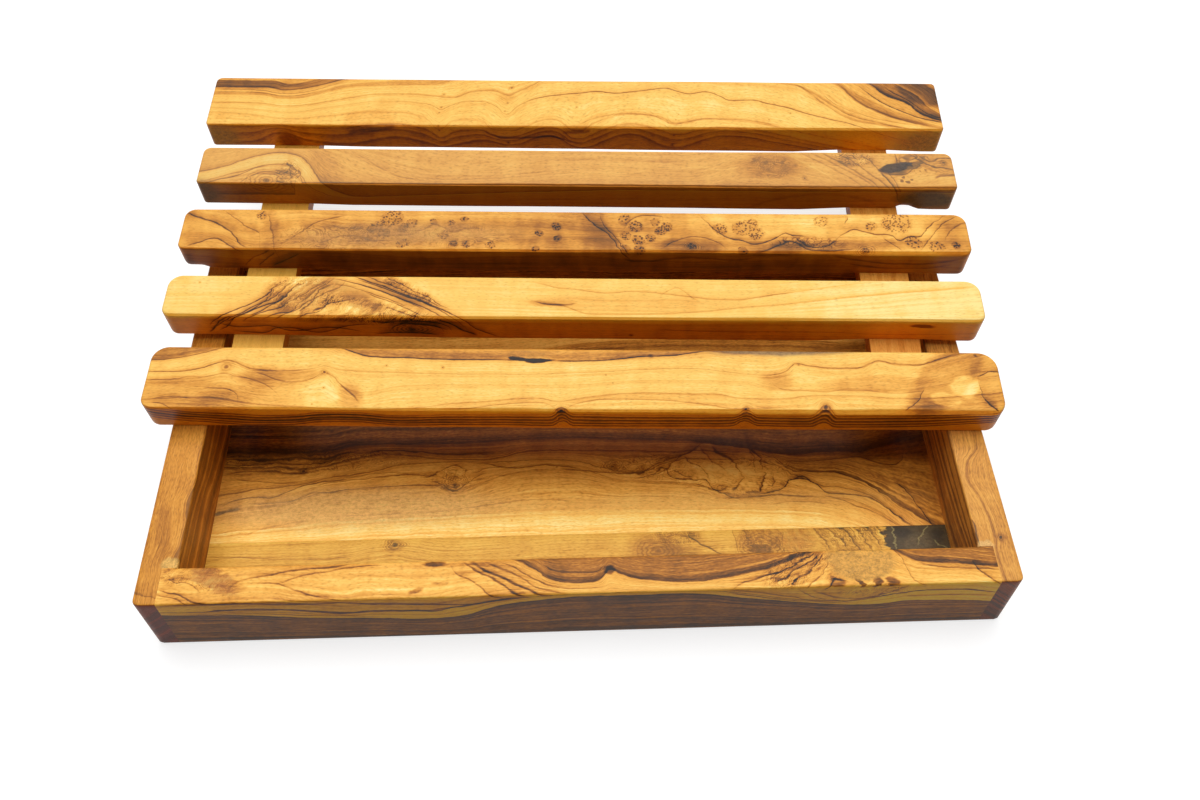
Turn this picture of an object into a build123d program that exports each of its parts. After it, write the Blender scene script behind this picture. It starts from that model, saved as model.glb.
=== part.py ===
import os
from math import asin, cos, degrees, radians, sin, tan

from build123d import *

# Bread board with a crumb catcher, in olive wood: a slatted board that slides over a shallow tray.
# Millimetres, +X right, +Y back, +Z up. The origin is the centre of the tray's underside.
# The board is shown slid back over the tray, a little askew, so that the tray lies open in front.

# Crumb tray: four rails round a glued-up floor
tray_length = 383.0
tray_depth = 216.0
tray_height = 38.0
side_rail_width = 16.5
front_rail_width = 17.5
back_rail_width = 17.5
corner_lap_width = 10.0
tray_corner_round = 3.0
rail_top_round = 1.6
rail_foot_round = 0.8
floor_thickness = 5.5
floor_lap = 6.0
front_floor_strip = 30.0
middle_floor_board = 75.0

# Slatted board: it overhangs the closed tray, and the slats share out what is left as gaps
slat_thickness = 16.0
front_slat_depth = 34.5
second_slat_depth = 24.0
middle_slat_depth = 25.0
fourth_slat_depth = 25.5
back_slat_depth = 35.0
front_gap_extra = 1.0
board_overhang_ends = 8.5
board_overhang_front = 0.5
slat_edge_round = 1.3
# Sanded by hand, so that no two ends are alike: how far each slat reaches past the board's ends, left
# and right, and how far its upright corners are rounded, front left, front right, back left, back right
slat_extra_reach = {
    "front_slat": (0.0, 1.5),
    "second_slat": (1.0, 1.0),
    "middle_slat": (1.3, 1.3),
    "fourth_slat": (0.2, 1.0),
    "back_slat": (3.0, 0.2),
}
slat_corner_rounds = {
    "front_slat": (6.0, 7.0, 8.0, 9.0),
    "second_slat": (5.0, 5.0, 7.0, 7.5),
    "middle_slat": (4.0, 4.5, 5.5, 6.5),
    "fourth_slat": (2.5, 2.5, 4.0, 4.5),
    "back_slat": (2.5, 2.5, 3.5, 2.5),
}

# Two battens under the slats, which drop in between the tray's rails
batten_width = 25.0
batten_height = 8.5
batten_side_play = 4.75
batten_shift = 1.5
batten_end_play = 5.0
batten_edge_round = 0.8

# Countersunk screws, up through each batten into every slat
screw_length = 20.0
screw_diameter = 3.5
screw_head_diameter = 7.0
screw_head_height = 2.4
screw_head_sink = 0.2
screw_tip = 3.0
screw_recess_width = 0.9
screw_recess_reach = 3.8
screw_recess_depth = 1.4
screw_fit = 0.05

# How the board lies on the tray
shown_slide = 86.7
shown_turn = -2.16
shown_shift = 1.4
rest_gap = 0.2

half_length = tray_length / 2
half_depth = tray_depth / 2
inner_half_length = half_length - side_rail_width
inner_front = -half_depth + front_rail_width
inner_back = half_depth - back_rail_width

slat_depths = {
    "front_slat": front_slat_depth,
    "second_slat": second_slat_depth,
    "middle_slat": middle_slat_depth,
    "fourth_slat": fourth_slat_depth,
    "back_slat": back_slat_depth,
}
board_depth = tray_depth + 2 * board_overhang_front
slat_reach = half_length + board_overhang_ends
gap_count = len(slat_depths) - 1
slat_gap = (board_depth - sum(slat_depths.values()) - front_gap_extra) / gap_count

# The closed board overhangs the tray alike in front and behind
closed_front = -board_depth / 2
batten_front = inner_front - closed_front + batten_end_play
batten_back = inner_back - closed_front - batten_end_play
batten_offset = inner_half_length - batten_side_play - batten_width / 2
batten_centres = {"left": batten_shift - batten_offset, "right": batten_shift + batten_offset}


def block(x_low, x_high, y_low, y_high, z_low, z_high):
    """A square block between two corners."""
    size = Box(x_high - x_low, y_high - y_low, z_high - z_low)
    return Pos((x_low + x_high) / 2, (y_low + y_high) / 2, (z_low + z_high) / 2) * size


def edges_at(solid, height):
    """The edges that lie flat at one height."""
    return solid.edges().filter_by_position(Axis.Z, height, height, inclusive=(True, True))


def tray_frame():
    """The glued-up frame, before it is divided into its four rails."""
    frame = block(-half_length, half_length, -half_depth, half_depth, 0, tray_height)
    frame = fillet(frame.edges().filter_by(Axis.Z), tray_corner_round)
    frame = fillet(edges_at(frame, 0), rail_foot_round)
    frame -= block(
        -inner_half_length, inner_half_length, inner_front, inner_back, 0, tray_height
    )
    frame = fillet(edges_at(frame, tray_height), rail_top_round)
    rebate = block(
        -inner_half_length - floor_lap,
        inner_half_length + floor_lap,
        inner_front - floor_lap,
        inner_back + floor_lap,
        0,
        floor_thickness,
    )
    return frame - rebate


def cross_rail_space(back):
    """Where the front or back rail runs, let into the side rails' ends."""
    reach = half_length - corner_lap_width
    if back:
        return block(-reach, reach, inner_back, half_depth, 0, tray_height)
    return block(-reach, reach, -half_depth, inner_front, 0, tray_height)


def side_rail(frame, side):
    """A side rail, rebated at both ends for the front and back rails. side is -1 or 1."""
    x_low, x_high = sorted((side * half_length, side * inner_half_length))
    rail = frame & block(x_low, x_high, -half_depth, half_depth, 0, tray_height)
    return rail - cross_rail_space(False) - cross_rail_space(True)


def floor_board(y_low, y_high):
    """One board of the tray's floor, glued into the rails' rebate flush with their feet."""
    reach = inner_half_length + floor_lap
    return block(-reach, reach, y_low, y_high, 0, floor_thickness)


def floor_boards():
    """The floor's three boards, from a narrow strip in front to the back."""
    first_joint = inner_front + front_floor_strip
    second_joint = first_joint + middle_floor_board
    return {
        "floor_strip_front": floor_board(inner_front - floor_lap, first_joint),
        "floor_board_middle": floor_board(first_joint, second_joint),
        "floor_board_back": floor_board(second_joint, inner_back + floor_lap),
    }


def slat_spans():
    """Where each slat begins and ends, front to back, on the flat board."""
    spans, y_low = {}, 0
    for name, depth in slat_depths.items():
        spans[name] = (y_low, y_low + depth)
        y_low += depth + slat_gap + (front_gap_extra if name == "front_slat" else 0)
    return spans


def slat(name, y_low, y_high):
    """A slat with its corners rounded in plan and its edges eased all round."""
    extra_left, extra_right = slat_extra_reach[name]
    x_low, x_high = -slat_reach - extra_left, slat_reach + extra_right
    body = block(x_low, x_high, y_low, y_high, 0, slat_thickness)
    corners = [(x_low, y_low), (x_high, y_low), (x_low, y_high), (x_high, y_high)]
    for (x, y), corner_round in zip(corners, slat_corner_rounds[name]):
        upright = body.edges().filter_by(Axis.Z).sort_by_distance((x, y, slat_thickness / 2))[0]
        body = fillet(upright, corner_round)
    body = fillet(edges_at(body, slat_thickness), slat_edge_round)
    return fillet(edges_at(body, 0), slat_edge_round)


def batten(x_centre):
    """A batten under the slats, with its lower edges eased."""
    x_low = x_centre - batten_width / 2
    body = block(x_low, x_low + batten_width, batten_front, batten_back, -batten_height, 0)
    return fillet(edges_at(body, -batten_height), batten_edge_round)


def screw_body(play):
    """A countersunk screw pointing up from its head at z = 0, or its hole with some play."""
    head, shank = screw_head_diameter / 2 + play, screw_diameter / 2 + play
    tip_start, tip_end = screw_length - screw_tip, screw_length + play
    outline = Polyline(
        (0, 0), (head, 0), (shank, screw_head_height), (shank, tip_start), (0, tip_end), (0, 0)
    )
    return revolve(Plane.XZ * make_face(outline), Axis.Z)


def screw():
    """A screw with a cross recess in its head."""
    reach, half_width = screw_recess_reach / 2, screw_recess_width / 2
    body = screw_body(0)
    body -= block(-reach, reach, -half_width, half_width, 0, screw_recess_depth)
    body -= block(-half_width, half_width, -reach, reach, 0, screw_recess_depth)
    return body


def screw_hole(foot):
    """A screw's hole, with the countersink opened down through the batten's underside."""
    mouth = Cylinder(screw_head_diameter / 2 + screw_fit, 2 * screw_head_sink)
    return foot * (screw_body(screw_fit) + Pos(0, 0, -screw_head_sink) * mouth)


def board_parts():
    """The slatted board, flat, with its front lower edge on the X axis."""
    spans = slat_spans()
    parts = {name: slat(name, *span) for name, span in spans.items()}
    for side, x_centre in batten_centres.items():
        body = batten(x_centre)
        screws = []
        for name, (y_low, y_high) in spans.items():
            # A screw goes in the middle of where the batten and the slat meet
            y_screw = (max(y_low, batten_front) + min(y_high, batten_back)) / 2
            foot = Pos(x_centre, y_screw, screw_head_sink - batten_height)
            hole = screw_hole(foot)
            body -= hole
            parts[name] -= hole
            screws.append(foot * screw())
        parts["batten_" + side] = body
        parts["batten_screws_" + side] = Compound(screws)
    return parts


def shown_place():
    """Where the board lies: its front slat on the side rails, a batten on the back rail's edge."""
    y_front = closed_front + shown_slide
    turn = radians(shown_turn)
    outer = batten_centres["left"] - batten_width / 2
    run = (inner_back - y_front) / cos(turn) - outer * tan(turn)
    tilt = degrees(asin(batten_height / run))
    # The board is turned about the middle of the stretch of batten that hangs in the tray
    hanging_middle = (batten_front + run) / 2
    x_front = shown_shift - batten_shift * cos(turn) + hanging_middle * sin(turn)
    return Pos(x_front, y_front, tray_height + rest_gap) * Rot(0, 0, shown_turn) * Rot(tilt, 0, 0)


frame = tray_frame()
nodes = {
    "side_rail_left": side_rail(frame, -1),
    "side_rail_right": side_rail(frame, 1),
    "front_rail": frame & cross_rail_space(False),
    "back_rail": frame & cross_rail_space(True),
}
nodes.update(floor_boards())
place = shown_place()
nodes.update({name: place * part for name, part in board_parts().items()})

os.makedirs("parts", exist_ok=True)
for name, shape in nodes.items():
    export_step(shape, "parts/" + name + ".step")
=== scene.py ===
from functools import partial
from math import radians

import bpy
import numpy as np
from mathutils import Matrix, Vector, noise


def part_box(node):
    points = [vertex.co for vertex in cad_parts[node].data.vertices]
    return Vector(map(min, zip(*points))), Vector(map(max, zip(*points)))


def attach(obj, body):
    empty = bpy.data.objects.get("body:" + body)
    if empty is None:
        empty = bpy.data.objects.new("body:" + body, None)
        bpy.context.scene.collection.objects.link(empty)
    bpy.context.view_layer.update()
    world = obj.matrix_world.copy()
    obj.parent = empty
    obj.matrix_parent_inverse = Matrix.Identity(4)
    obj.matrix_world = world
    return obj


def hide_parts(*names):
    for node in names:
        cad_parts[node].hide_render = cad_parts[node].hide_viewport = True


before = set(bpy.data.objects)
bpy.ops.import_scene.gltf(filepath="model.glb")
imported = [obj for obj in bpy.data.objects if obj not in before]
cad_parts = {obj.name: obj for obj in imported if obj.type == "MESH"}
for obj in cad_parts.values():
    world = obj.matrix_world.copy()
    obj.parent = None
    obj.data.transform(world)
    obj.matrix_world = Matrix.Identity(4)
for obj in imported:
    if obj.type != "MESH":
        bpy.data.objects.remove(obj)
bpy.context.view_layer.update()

# Side rails: two olive wood rails that run front to back, planed square, their top edges eased by hand.
# The front and back rails are let into a step at each end and glued, and a groove below takes the floor.
MM = 0.001
rail_top_round = 1.0
rail_foot_round = 0.8
frame_corner_round = 3.0
rail_step = 3.0
crease_angle = 28.0
ease_cuts = 5

# Olive wood's depth of colour, from pale sapwood, 0, to the near black of a mineral line, 1. Its figure is
# drawn up to this far from a piece's middle.
wood_reach = 210.0
olive_colours = {
    0.0: "#ffe592",
    0.15: "#fdcc64",
    0.3: "#f4b34d",
    0.45: "#dc9536",
    0.6: "#ac6a20",
    0.75: "#754614",
    0.88: "#44270c",
    1.0: "#1b1108",
}
pore_colour = "#6b3f22"

tray_low, tray_high = (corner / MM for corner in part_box("side_rail_left"))
tray_top = tray_high.z
tray_front, tray_back = tray_low.y, tray_high.y
tray_half = -tray_low.x
rail_inner_half = -tray_high.x
rail_lap_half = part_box("front_rail")[1].x / MM
rail_inner_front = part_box("front_rail")[1].y / MM
rail_inner_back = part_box("back_rail")[0].y / MM
floor_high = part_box("floor_board_back")[1] / MM
floor_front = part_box("floor_strip_front")[0].y / MM


def add(tree, kind, inputs=None, **settings):
    """Adds a node. Its inputs are values, or other nodes or sockets to link from."""
    node = tree.nodes.new("ShaderNode" + kind)
    for name, value in settings.items():
        setattr(node, name, value)
    for name, value in (inputs or {}).items():
        if isinstance(value, bpy.types.Node):
            value = value.outputs[0]
        if isinstance(value, bpy.types.NodeSocket):
            tree.links.new(value, node.inputs[name])
        else:
            node.inputs[name].default_value = value
    return node


def linear(colour):
    """An sRGB hex colour as the linear colour that a shader takes."""
    parts = [int(colour[k : k + 2], 16) / 255 for k in (1, 3, 5)]
    return [p / 12.92 if p < 0.04045 else ((p + 0.055) / 1.055) ** 2.4 for p in parts] + [1]


def set_ramp(ramp, stops):
    """Gives a colour ramp its stops, each a place and a grey level or a colour."""
    for place, value in stops[2:]:
        ramp.color_ramp.elements.new(place)
    for element, (place, value) in zip(ramp.color_ramp.elements, stops):
        element.position = place
        element.color = linear(value) if isinstance(value, str) else (value, value, value, 1)
    return ramp


def bend(curve, dots):
    """Gives a curve node its dots, and holds it level past the first and the last."""
    made = curve.mapping.curves[0].points
    for _ in dots[2:]:
        made.new(0.5, 0.5)
    for dot, place in zip(made, dots):
        dot.location = place
        dot.handle_type = "AUTO_CLAMPED"
    curve.mapping.extend = "HORIZONTAL"
    curve.mapping.update()
    return curve


def trace(curve, points):
    """Draws a line along the wood into a curve node, from points of (along, across) in mm."""
    return bend(curve, [(0.5 + x / wood_reach / 2, 0.5 + y / wood_reach / 2) for x, y in points])


def nearest_spot(node, flat, spots):
    """How far off the nearest of some spots is, in its own half widths. An oval one is at a slant."""
    nearest = None
    for along, across, half_long, *oval in spots:
        if oval:
            inside = node(
                "Mapping",
                {
                    "Vector": flat,
                    "Location": (along, across, 0),
                    "Rotation": (0, 0, radians(oval[1])),
                    "Scale": (half_long, oval[0], 1),
                },
                vector_type="TEXTURE",
            )
            off = node("VectorMath", {0: inside}, operation="LENGTH").outputs["Value"]
        else:
            away = node("VectorMath", {0: flat, 1: (along, across, 0)}, operation="DISTANCE")
            off = node("Math", {0: away.outputs["Value"], 1: 1 / half_long}, operation="MULTIPLY")
        if nearest:
            off = node("Math", {0: nearest, 1: off}, operation="MINIMUM")
        nearest = off
    return nearest


# Real sizes in olive wood, in mm along the grain, across it and into it: how far apart the rings' broad
# wanderings and their close ones are, and how large are the spots where the finer rings are strong, the
# clouds of its colour and the specks in a stain
broad_wander_size = (46, 13, 13)
close_wander_size = (7, 3, 3)
ring_spot_size = (55, 9, 9)
cloud_size = (9, 17, 17)
speck_size = (2.2, 1.8, 1.8)
# The finer rings, and the fibres and pores, long along the grain and thin across it. Real pores are under
# 0.1 mm across, too fine to show, so they are drawn coarser.
fine_ring_size = 1.7
fibre_length, fibre_width = 14, 0.55
pore_length, pore_width = 2.2, 0.45
bud_spacing = 1.25
# How far the lines wander, in mm along and across, and how far fibres, pores and end grain darken the wood
broad_wander_reach = (4.0, 3.2)
close_wander_reach = (2.0, 1.3)
fibre_depth = 0.34
pore_depth = 0.28
end_grain_depth = 0.16
bud_depth = 0.36
bud_stain_depth = 0.12
# Oil has an IOR of about 1.47. A coat rubbed in by hand is satin, and duller along the fibres.
oil_ior = 1.47
oil_specular = 0.2
oil_roughness = (0.36, 0.5)
pore_dent = 0.05
# How dark it is across a dark line, six of its widths from front to back: sharp in front, with a brown
# stain behind
vein_across = [(0.0, 0), (0.16, 0.05), (0.215, 0.8), (0.25, 1), (0.285, 0.8), (0.34, 0.3)]
vein_across += [(0.6, 0.14), (1.0, 0)]
# From a knot's middle to its rim
knot_across = [(0.0, 0.5), (0.16, 0.42), (0.3, 0.1), (0.45, 0.2), (0.62, 0.1), (1.0, 0.0)]


def oiled_olive_wood(
    name,
    thickness,
    lines,
    rings,
    veins=(),
    patches=(),
    knots=(),
    birds_eyes=(),
    whorls=(),
    tangle=(),
    winds=1.0,
    winds_turn=None,
    lean=1,
    breadth=None,
    grain=1.0,
    seed=0,
    wobble=1.0,
    bustle=0.25,
    mottle=0.22,
    wash=None,
    tint="#ffffff",
    painted_edge_shade="#ffffff",
    painted_front_shade="#ffffff",
    end_tint="#dcb468",
    place=None,
):
    """Olive wood, sanded fine and oiled: satin, golden, with dark mineral lines along its growth rings.

    All places are (along, across) in mm. Across goes from the front edge of the top face backwards, and
    on over the edge down the front, as the rings lie aslant.

    lines: growth lines along the piece, front to back. rings: the wood's depth of colour at places
    counted in lines, so that 1.5 is midway between the second line and the third.
    veins: single dark lines, each its points, its width in mm and how dark it is.
    patches: oval, each along, across, half its length, half its width, its turn, how soft its edge is,
    and a change: to the depth of colour, or a stain's colour, or that and its strength.
    knots, birds_eyes, whorls, tangle: spots, each along, across and its half width, or half its length,
    half its width and its turn. winds is how far the rings tangle, and winds_turn the way they run there.
    lean: which way the rings slant as they go down. breadth: the piece's, where they arch over it.
    grain, wobble, bustle, mottle: how strong the fibres, the lines' wandering, the finer rings and the
    clouds are. wash: a colour that lies thinly over the rest, and its strength.
    tint, end_tint: what deepens the whole and its ends. The tints of the front edge and the front face
    are painted shade: they deepen and redden the sanded front edge and the front face, which lie in shade.
    place: where the wood's own axes lie, if they aren't the piece's.
    """
    material = bpy.data.materials.new(name)
    material.use_nodes = True
    tree = material.node_tree
    tree.nodes.clear()
    node = partial(add, tree)
    spot = node("TexCoord").outputs["Object"]
    mm = node("VectorMath", {0: spot, "Scale": 1 / MM}, operation="SCALE")
    if place:
        own = {"Vector": mm, "Location": place[0], "Rotation": place[1]}
        mm = node("Mapping", own, vector_type="TEXTURE")
    # Each piece is cut from a stretch of wood of its own
    shifted = node("VectorMath", {0: mm, 1: (97.0 * seed, 31.0 * seed, 53.0 * seed)})
    parts = node("SeparateXYZ", {0: mm})
    depth = node("Math", {0: parts.outputs["Z"], 1: float(thickness)}, operation="SUBTRACT")
    slope = float(lean)
    if breadth:
        # The growth rings arch over, so that they go on down the back face as they do down the front
        arch = {"From Min": 0.35 * breadth, "From Max": 0.8 * breadth}
        arch.update({"To Min": slope, "To Max": -0.8 * slope})
        slope = node("MapRange", {"Value": parts.outputs["Y"], **arch})
    across = node("Math", {0: depth, 1: slope, 2: parts.outputs["Y"]}, operation="MULTIPLY_ADD")

    # No growth line is straight: they wander by a mm or so over a hand's width, and by less close up
    broad = [1 / size for size in broad_wander_size]
    broad = node("VectorMath", {0: shifted, 1: broad}, operation="MULTIPLY")
    broad = node("TexNoise", {"Vector": broad, "Scale": 1.0, "Detail": 2.0, "Roughness": 0.5})
    close = [1 / size for size in close_wander_size]
    close = node("VectorMath", {0: shifted, 1: close}, operation="MULTIPLY")
    close = node("TexNoise", {"Vector": close, "Scale": 1.0, "Detail": 3.0, "Roughness": 0.55})
    drift = node("VectorMath", {0: broad.outputs["Color"], 1: (0.5, 0.5, 0.5)}, operation="SUBTRACT")
    reach_along, reach_across = broad_wander_reach
    drift = node("VectorMath", {0: drift, 1: (reach_along, reach_across * wobble, 0)}, operation="MULTIPLY")
    ripple = node("VectorMath", {0: close.outputs["Color"], 1: (0.5, 0.5, 0.5)}, operation="SUBTRACT")
    reach_along, reach_across = close_wander_reach
    ripple = node("VectorMath", {0: ripple, 1: (reach_along, reach_across * wobble, 0)}, operation="MULTIPLY")
    flat = node("CombineXYZ", {"X": parts.outputs["X"], "Y": across})
    flat = node("VectorMath", {0: flat, 1: drift})
    if tangle:
        inside = nearest_spot(node, flat, tangle)
        inside = node("MapRange", {"Value": inside, "From Min": 1.1, "From Max": 0.7})
        unrest = node("MapRange", {"Value": inside, "To Min": 1.0, "To Max": 2.2})
        ripple = node("VectorMath", {0: ripple, "Scale": unrest}, operation="SCALE")
    flat = node("VectorMath", {0: flat, 1: ripple})
    plane = node("SeparateXYZ", {0: flat})
    reach = {"From Min": -wood_reach, "From Max": wood_reach}
    far_along = node("MapRange", {"Value": plane.outputs["X"], **reach})
    far_across = node("MapRange", {"Value": plane.outputs["Y"], **reach}, clamp=False)

    # How many growth lines back a point lies, counting evenly from each line to the next
    level = 0.0
    low = trace(node("FloatCurve", {"Value": far_along}), lines[0])
    for k, line in enumerate(lines[1:]):
        high = trace(node("FloatCurve", {"Value": far_along}), line)
        between = {"Value": far_across, "From Min": low, "From Max": high}
        between = node("MapRange", between, clamp=0 < k < len(lines) - 2)
        if k == 0 and len(lines) > 2:
            between = node("Math", {0: between, 1: 1.0}, operation="MINIMUM")
        elif k == len(lines) - 2 and k:
            between = node("Math", {0: between, 1: 0.0}, operation="MAXIMUM")
        level = node("Math", {0: between, 1: level})
        low = high
    count = len(lines) - 1
    spread = np.mean([y for _, y in lines[-1]]) - np.mean([y for _, y in lines[0]])
    ring_mm = node("Math", {0: level, 1: spread / count}, operation="MULTIPLY")

    # The colour of the years: the broad bands are given, and finer rings lie between them
    share = node("Math", {0: level, 1: 1 / count}, operation="MULTIPLY")
    tone = set_ramp(node("ValToRGB", {"Fac": share}), [(place / count, value) for place, value in rings])
    years = node("Math", {0: ring_mm, 1: 1 / fine_ring_size, 2: 13.7 * seed}, operation="MULTIPLY_ADD")
    years = {"W": years, "Scale": 1.0, "Detail": 3.0, "Roughness": 0.65}
    years = node("TexNoise", years, noise_dimensions="1D")
    years = {"Value": years, "From Min": 0.3, "From Max": 0.7, "To Min": -bustle, "To Max": bustle}
    years = node("MapRange", years)
    here = [1 / size for size in ring_spot_size]
    here = node("VectorMath", {0: shifted, 1: here}, operation="MULTIPLY")
    here = node("TexNoise", {"Vector": here, "Scale": 1.0, "Detail": 2.0, "Roughness": 0.6})
    strength = {"Value": here, "From Min": 0.35, "From Max": 0.65, "To Min": 0.1, "To Max": 0.9}
    strength = node("MapRange", strength)
    tone = node("Math", {0: years, 1: strength, 2: tone}, operation="MULTIPLY_ADD")

    # Where the tree was hurt the rings tangle into thin dark lines that wind about
    if tangle:
        # About 15 mm long and 9 mm wide each, and half as wide where they run one way
        knotted = {
            "Vector": flat,
            "Location": (31 * seed, 17 * seed, 0),
            "Rotation": (0, 0, radians(winds_turn or 0)),
            "Scale": (15, 9 if winds_turn is None else 4.6, 1),
        }
        knotted = node("Mapping", knotted, vector_type="TEXTURE")
        knotted = {"Vector": knotted, "Scale": 1.0, "Detail": 1.6, "Roughness": 0.5, "Distortion": 1.3}
        knotted = node("TexNoise", knotted)
        winding = node("Math", {0: knotted, 1: 0.04}, operation="PINGPONG")
        winding = node("MapRange", {"Value": winding, "From Min": 0.02, "From Max": 0.006, "To Max": winds})
        winding = node("Math", {0: winding, 1: inside}, operation="MULTIPLY")
        patchy = {"Value": here, "From Min": 0.4, "From Max": 0.6, "To Min": 0.12, "To Max": 0.4}
        patchy = node("MapRange", patchy)
        body = {"From Min": 0.3, "From Max": 0.7, "To Min": -0.14 * winds, "To Max": 0.2 * winds}
        body = node("MapRange", {"Value": knotted, **body})
        tone = node("Math", {0: body, 1: inside, 2: tone}, operation="MULTIPLY_ADD")
        tone = node("Math", {0: winding, 1: patchy, 2: tone}, operation="MULTIPLY_ADD")

    # Single dark lines, each fading out at its ends
    for points, width, dark in veins:
        curve = trace(node("FloatCurve", {"Value": far_along}), points)
        off = node("Math", {0: far_across, 1: curve}, operation="SUBTRACT")
        off = node("Math", {0: off, 1: wood_reach / 3 / width, 2: 0.25}, operation="MULTIPLY_ADD")
        line = bend(node("FloatCurve", {"Value": off}), vein_across)
        middle = (points[0][0] + points[-1][0]) / 2
        half = (points[-1][0] - points[0][0]) / 2
        beside = node("Math", {0: plane.outputs["X"], 1: middle}, operation="SUBTRACT")
        beside = node("Math", {0: beside}, operation="ABSOLUTE")
        fade = {"From Min": half, "From Max": half - min(8, half * 0.3), "To Max": dark}
        faded = node("MapRange", {"Value": beside, **fade})
        tone = node("Math", {0: line, 1: faded, 2: tone}, operation="MULTIPLY_ADD")

    # Bird's eyes: dark pinpoint clusters of buds that never grew out
    if birds_eyes:
        buds = node("TexVoronoi", {"Vector": flat, "Scale": 1 / bud_spacing, "Randomness": 0.9})
        buds = node("MapRange", {"Value": buds, "From Min": 0.5, "From Max": 0.3})
        near = nearest_spot(node, flat, birds_eyes)
        near = node("MapRange", {"Value": near, "From Min": 1.1, "From Max": 0.8})
        buds = node("Math", {0: buds, 1: near}, operation="MULTIPLY")
        tone = node("Math", {0: buds, 1: bud_depth, 2: tone}, operation="MULTIPLY_ADD")
        tone = node("Math", {0: near, 1: bud_stain_depth, 2: tone}, operation="MULTIPLY_ADD")

    # Small knots: a dark core in a paler ring and a brown halo
    if knots:
        near = nearest_spot(node, flat, knots)
        core = set_ramp(node("ValToRGB", {"Fac": near}), knot_across)
        tone = node("Math", {0: core, 1: tone})

    # Whorls: fine rings round a bud or a healed branch
    ragged = node("VectorMath", {0: ripple, 1: (1.6, 1.6, 0), 2: flat}, operation="MULTIPLY_ADD")
    if whorls:
        near = nearest_spot(node, ragged, whorls)
        round_it = node("Math", {0: near, 1: 0.09}, operation="PINGPONG")
        round_it = node("MapRange", {"Value": round_it, "From Min": 0.03, "From Max": 0.09})
        near = node("MapRange", {"Value": near, "From Min": 1.1, "From Max": 0.6, "To Max": 0.24})
        tone = node("Math", {0: round_it, 1: near, 2: tone}, operation="MULTIPLY_ADD")

    # Broad stains and streaks of heartwood
    mixes = []
    for along, around, half_long, half_wide, turn, soft, change in patches:
        off = nearest_spot(node, ragged, [(along, around, half_long, half_wide, turn)])
        amount = node(
            "MapRange",
            {"Value": off, "From Min": 1 + soft / 2, "From Max": 1 - soft / 2, "To Max": 0.95},
            interpolation_type="SMOOTHSTEP",
        )
        if isinstance(change, tuple):
            amount = node("Math", {0: amount, 1: change[1]}, operation="MULTIPLY")
            mixes.append((amount, change[0]))
        elif isinstance(change, str):
            mixes.append((amount, change))
        else:
            tone = node("Math", {0: amount, 1: change, 2: tone}, operation="MULTIPLY_ADD")

    # Fibres and pores run along the rings, and clouds of colour lie over them
    length = node("Math", {0: parts.outputs["X"], 1: 1 / fibre_length}, operation="MULTIPLY")
    fibres = node("Math", {0: ring_mm, 1: 1 / fibre_width}, operation="MULTIPLY")
    fibres = node("CombineXYZ", {"X": length, "Y": fibres, "Z": depth})
    fibres = node("TexNoise", {"Vector": fibres, "Scale": 1.0, "Detail": 2.0, "Roughness": 0.7})
    tone = node("Math", {0: fibres, 1: fibre_depth * grain, 2: tone}, operation="MULTIPLY_ADD")
    pores = node("Math", {0: ring_mm, 1: 1 / pore_width}, operation="MULTIPLY")
    short = node("Math", {0: parts.outputs["X"], 1: 1 / pore_length}, operation="MULTIPLY")
    pores = node("CombineXYZ", {"X": short, "Y": pores, "Z": depth})
    pores = node("TexNoise", {"Vector": pores, "Scale": 1.0, "Detail": 1.0})
    tone = node("Math", {0: pores, 1: pore_depth * grain, 2: tone}, operation="MULTIPLY_ADD")
    cloud = [1 / size for size in cloud_size]
    cloud = node("VectorMath", {0: shifted, 1: cloud}, operation="MULTIPLY")
    cloud = node("TexNoise", {"Vector": cloud, "Scale": 1.0, "Detail": 2.0})
    cloud = node("Math", {0: cloud, 1: 0.5}, operation="SUBTRACT")
    tone = node("Math", {0: cloud, 1: mottle, 2: tone}, operation="MULTIPLY_ADD")

    # End grain drinks more oil. The fibres and pores then leave the wood as deep as it was on average.
    facing = node("SeparateXYZ", {0: node("TexCoord").outputs["Normal"]})
    end_on = node("Math", {0: facing.outputs["X"]}, operation="ABSOLUTE")
    end_on = node("MapRange", {"Value": end_on, "From Min": 0.5, "From Max": 0.98})
    tone = node("Math", {0: end_on, 1: end_grain_depth, 2: tone}, operation="MULTIPLY_ADD")
    tone = node("Math", {0: tone, 1: (fibre_depth + pore_depth) / 2 * grain}, operation="SUBTRACT")
    colour = set_ramp(node("ValToRGB", {"Fac": tone}), list(olive_colours.items()))
    if wash:
        colour = node("Mix", {0: wash[1], 6: colour, 7: linear(wash[0])}, data_type="RGBA").outputs[2]
    if mixes:
        # A stain is speckled, as it soaks in more at each open pore
        speckle = [1 / size for size in speck_size]
        speckle = node("VectorMath", {0: shifted, 1: speckle}, operation="MULTIPLY")
        speckle = node("TexNoise", {"Vector": speckle, "Scale": 1.0, "Detail": 5.0, "Roughness": 0.85})
        speckle = {"Value": speckle, "From Min": 0.3, "From Max": 0.6, "To Min": 0.4, "To Max": 1.35}
        speckle = node("MapRange", speckle)
    for amount, change in mixes:
        stain = node("VectorMath", {0: linear(change)[:3], "Scale": speckle}, operation="SCALE")
        colour = node("Mix", {0: amount, 6: colour, 7: stain}, data_type="RGBA").outputs[2]

    # The oil's tint lies over the whole, and deeper over end grain
    for amount, tint_here in ((1.0, tint), (end_on, end_tint)):
        tinted = {0: amount, 6: colour, 7: linear(tint_here)}
        colour = node("Mix", tinted, data_type="RGBA", blend_type="MULTIPLY").outputs[2]
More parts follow.
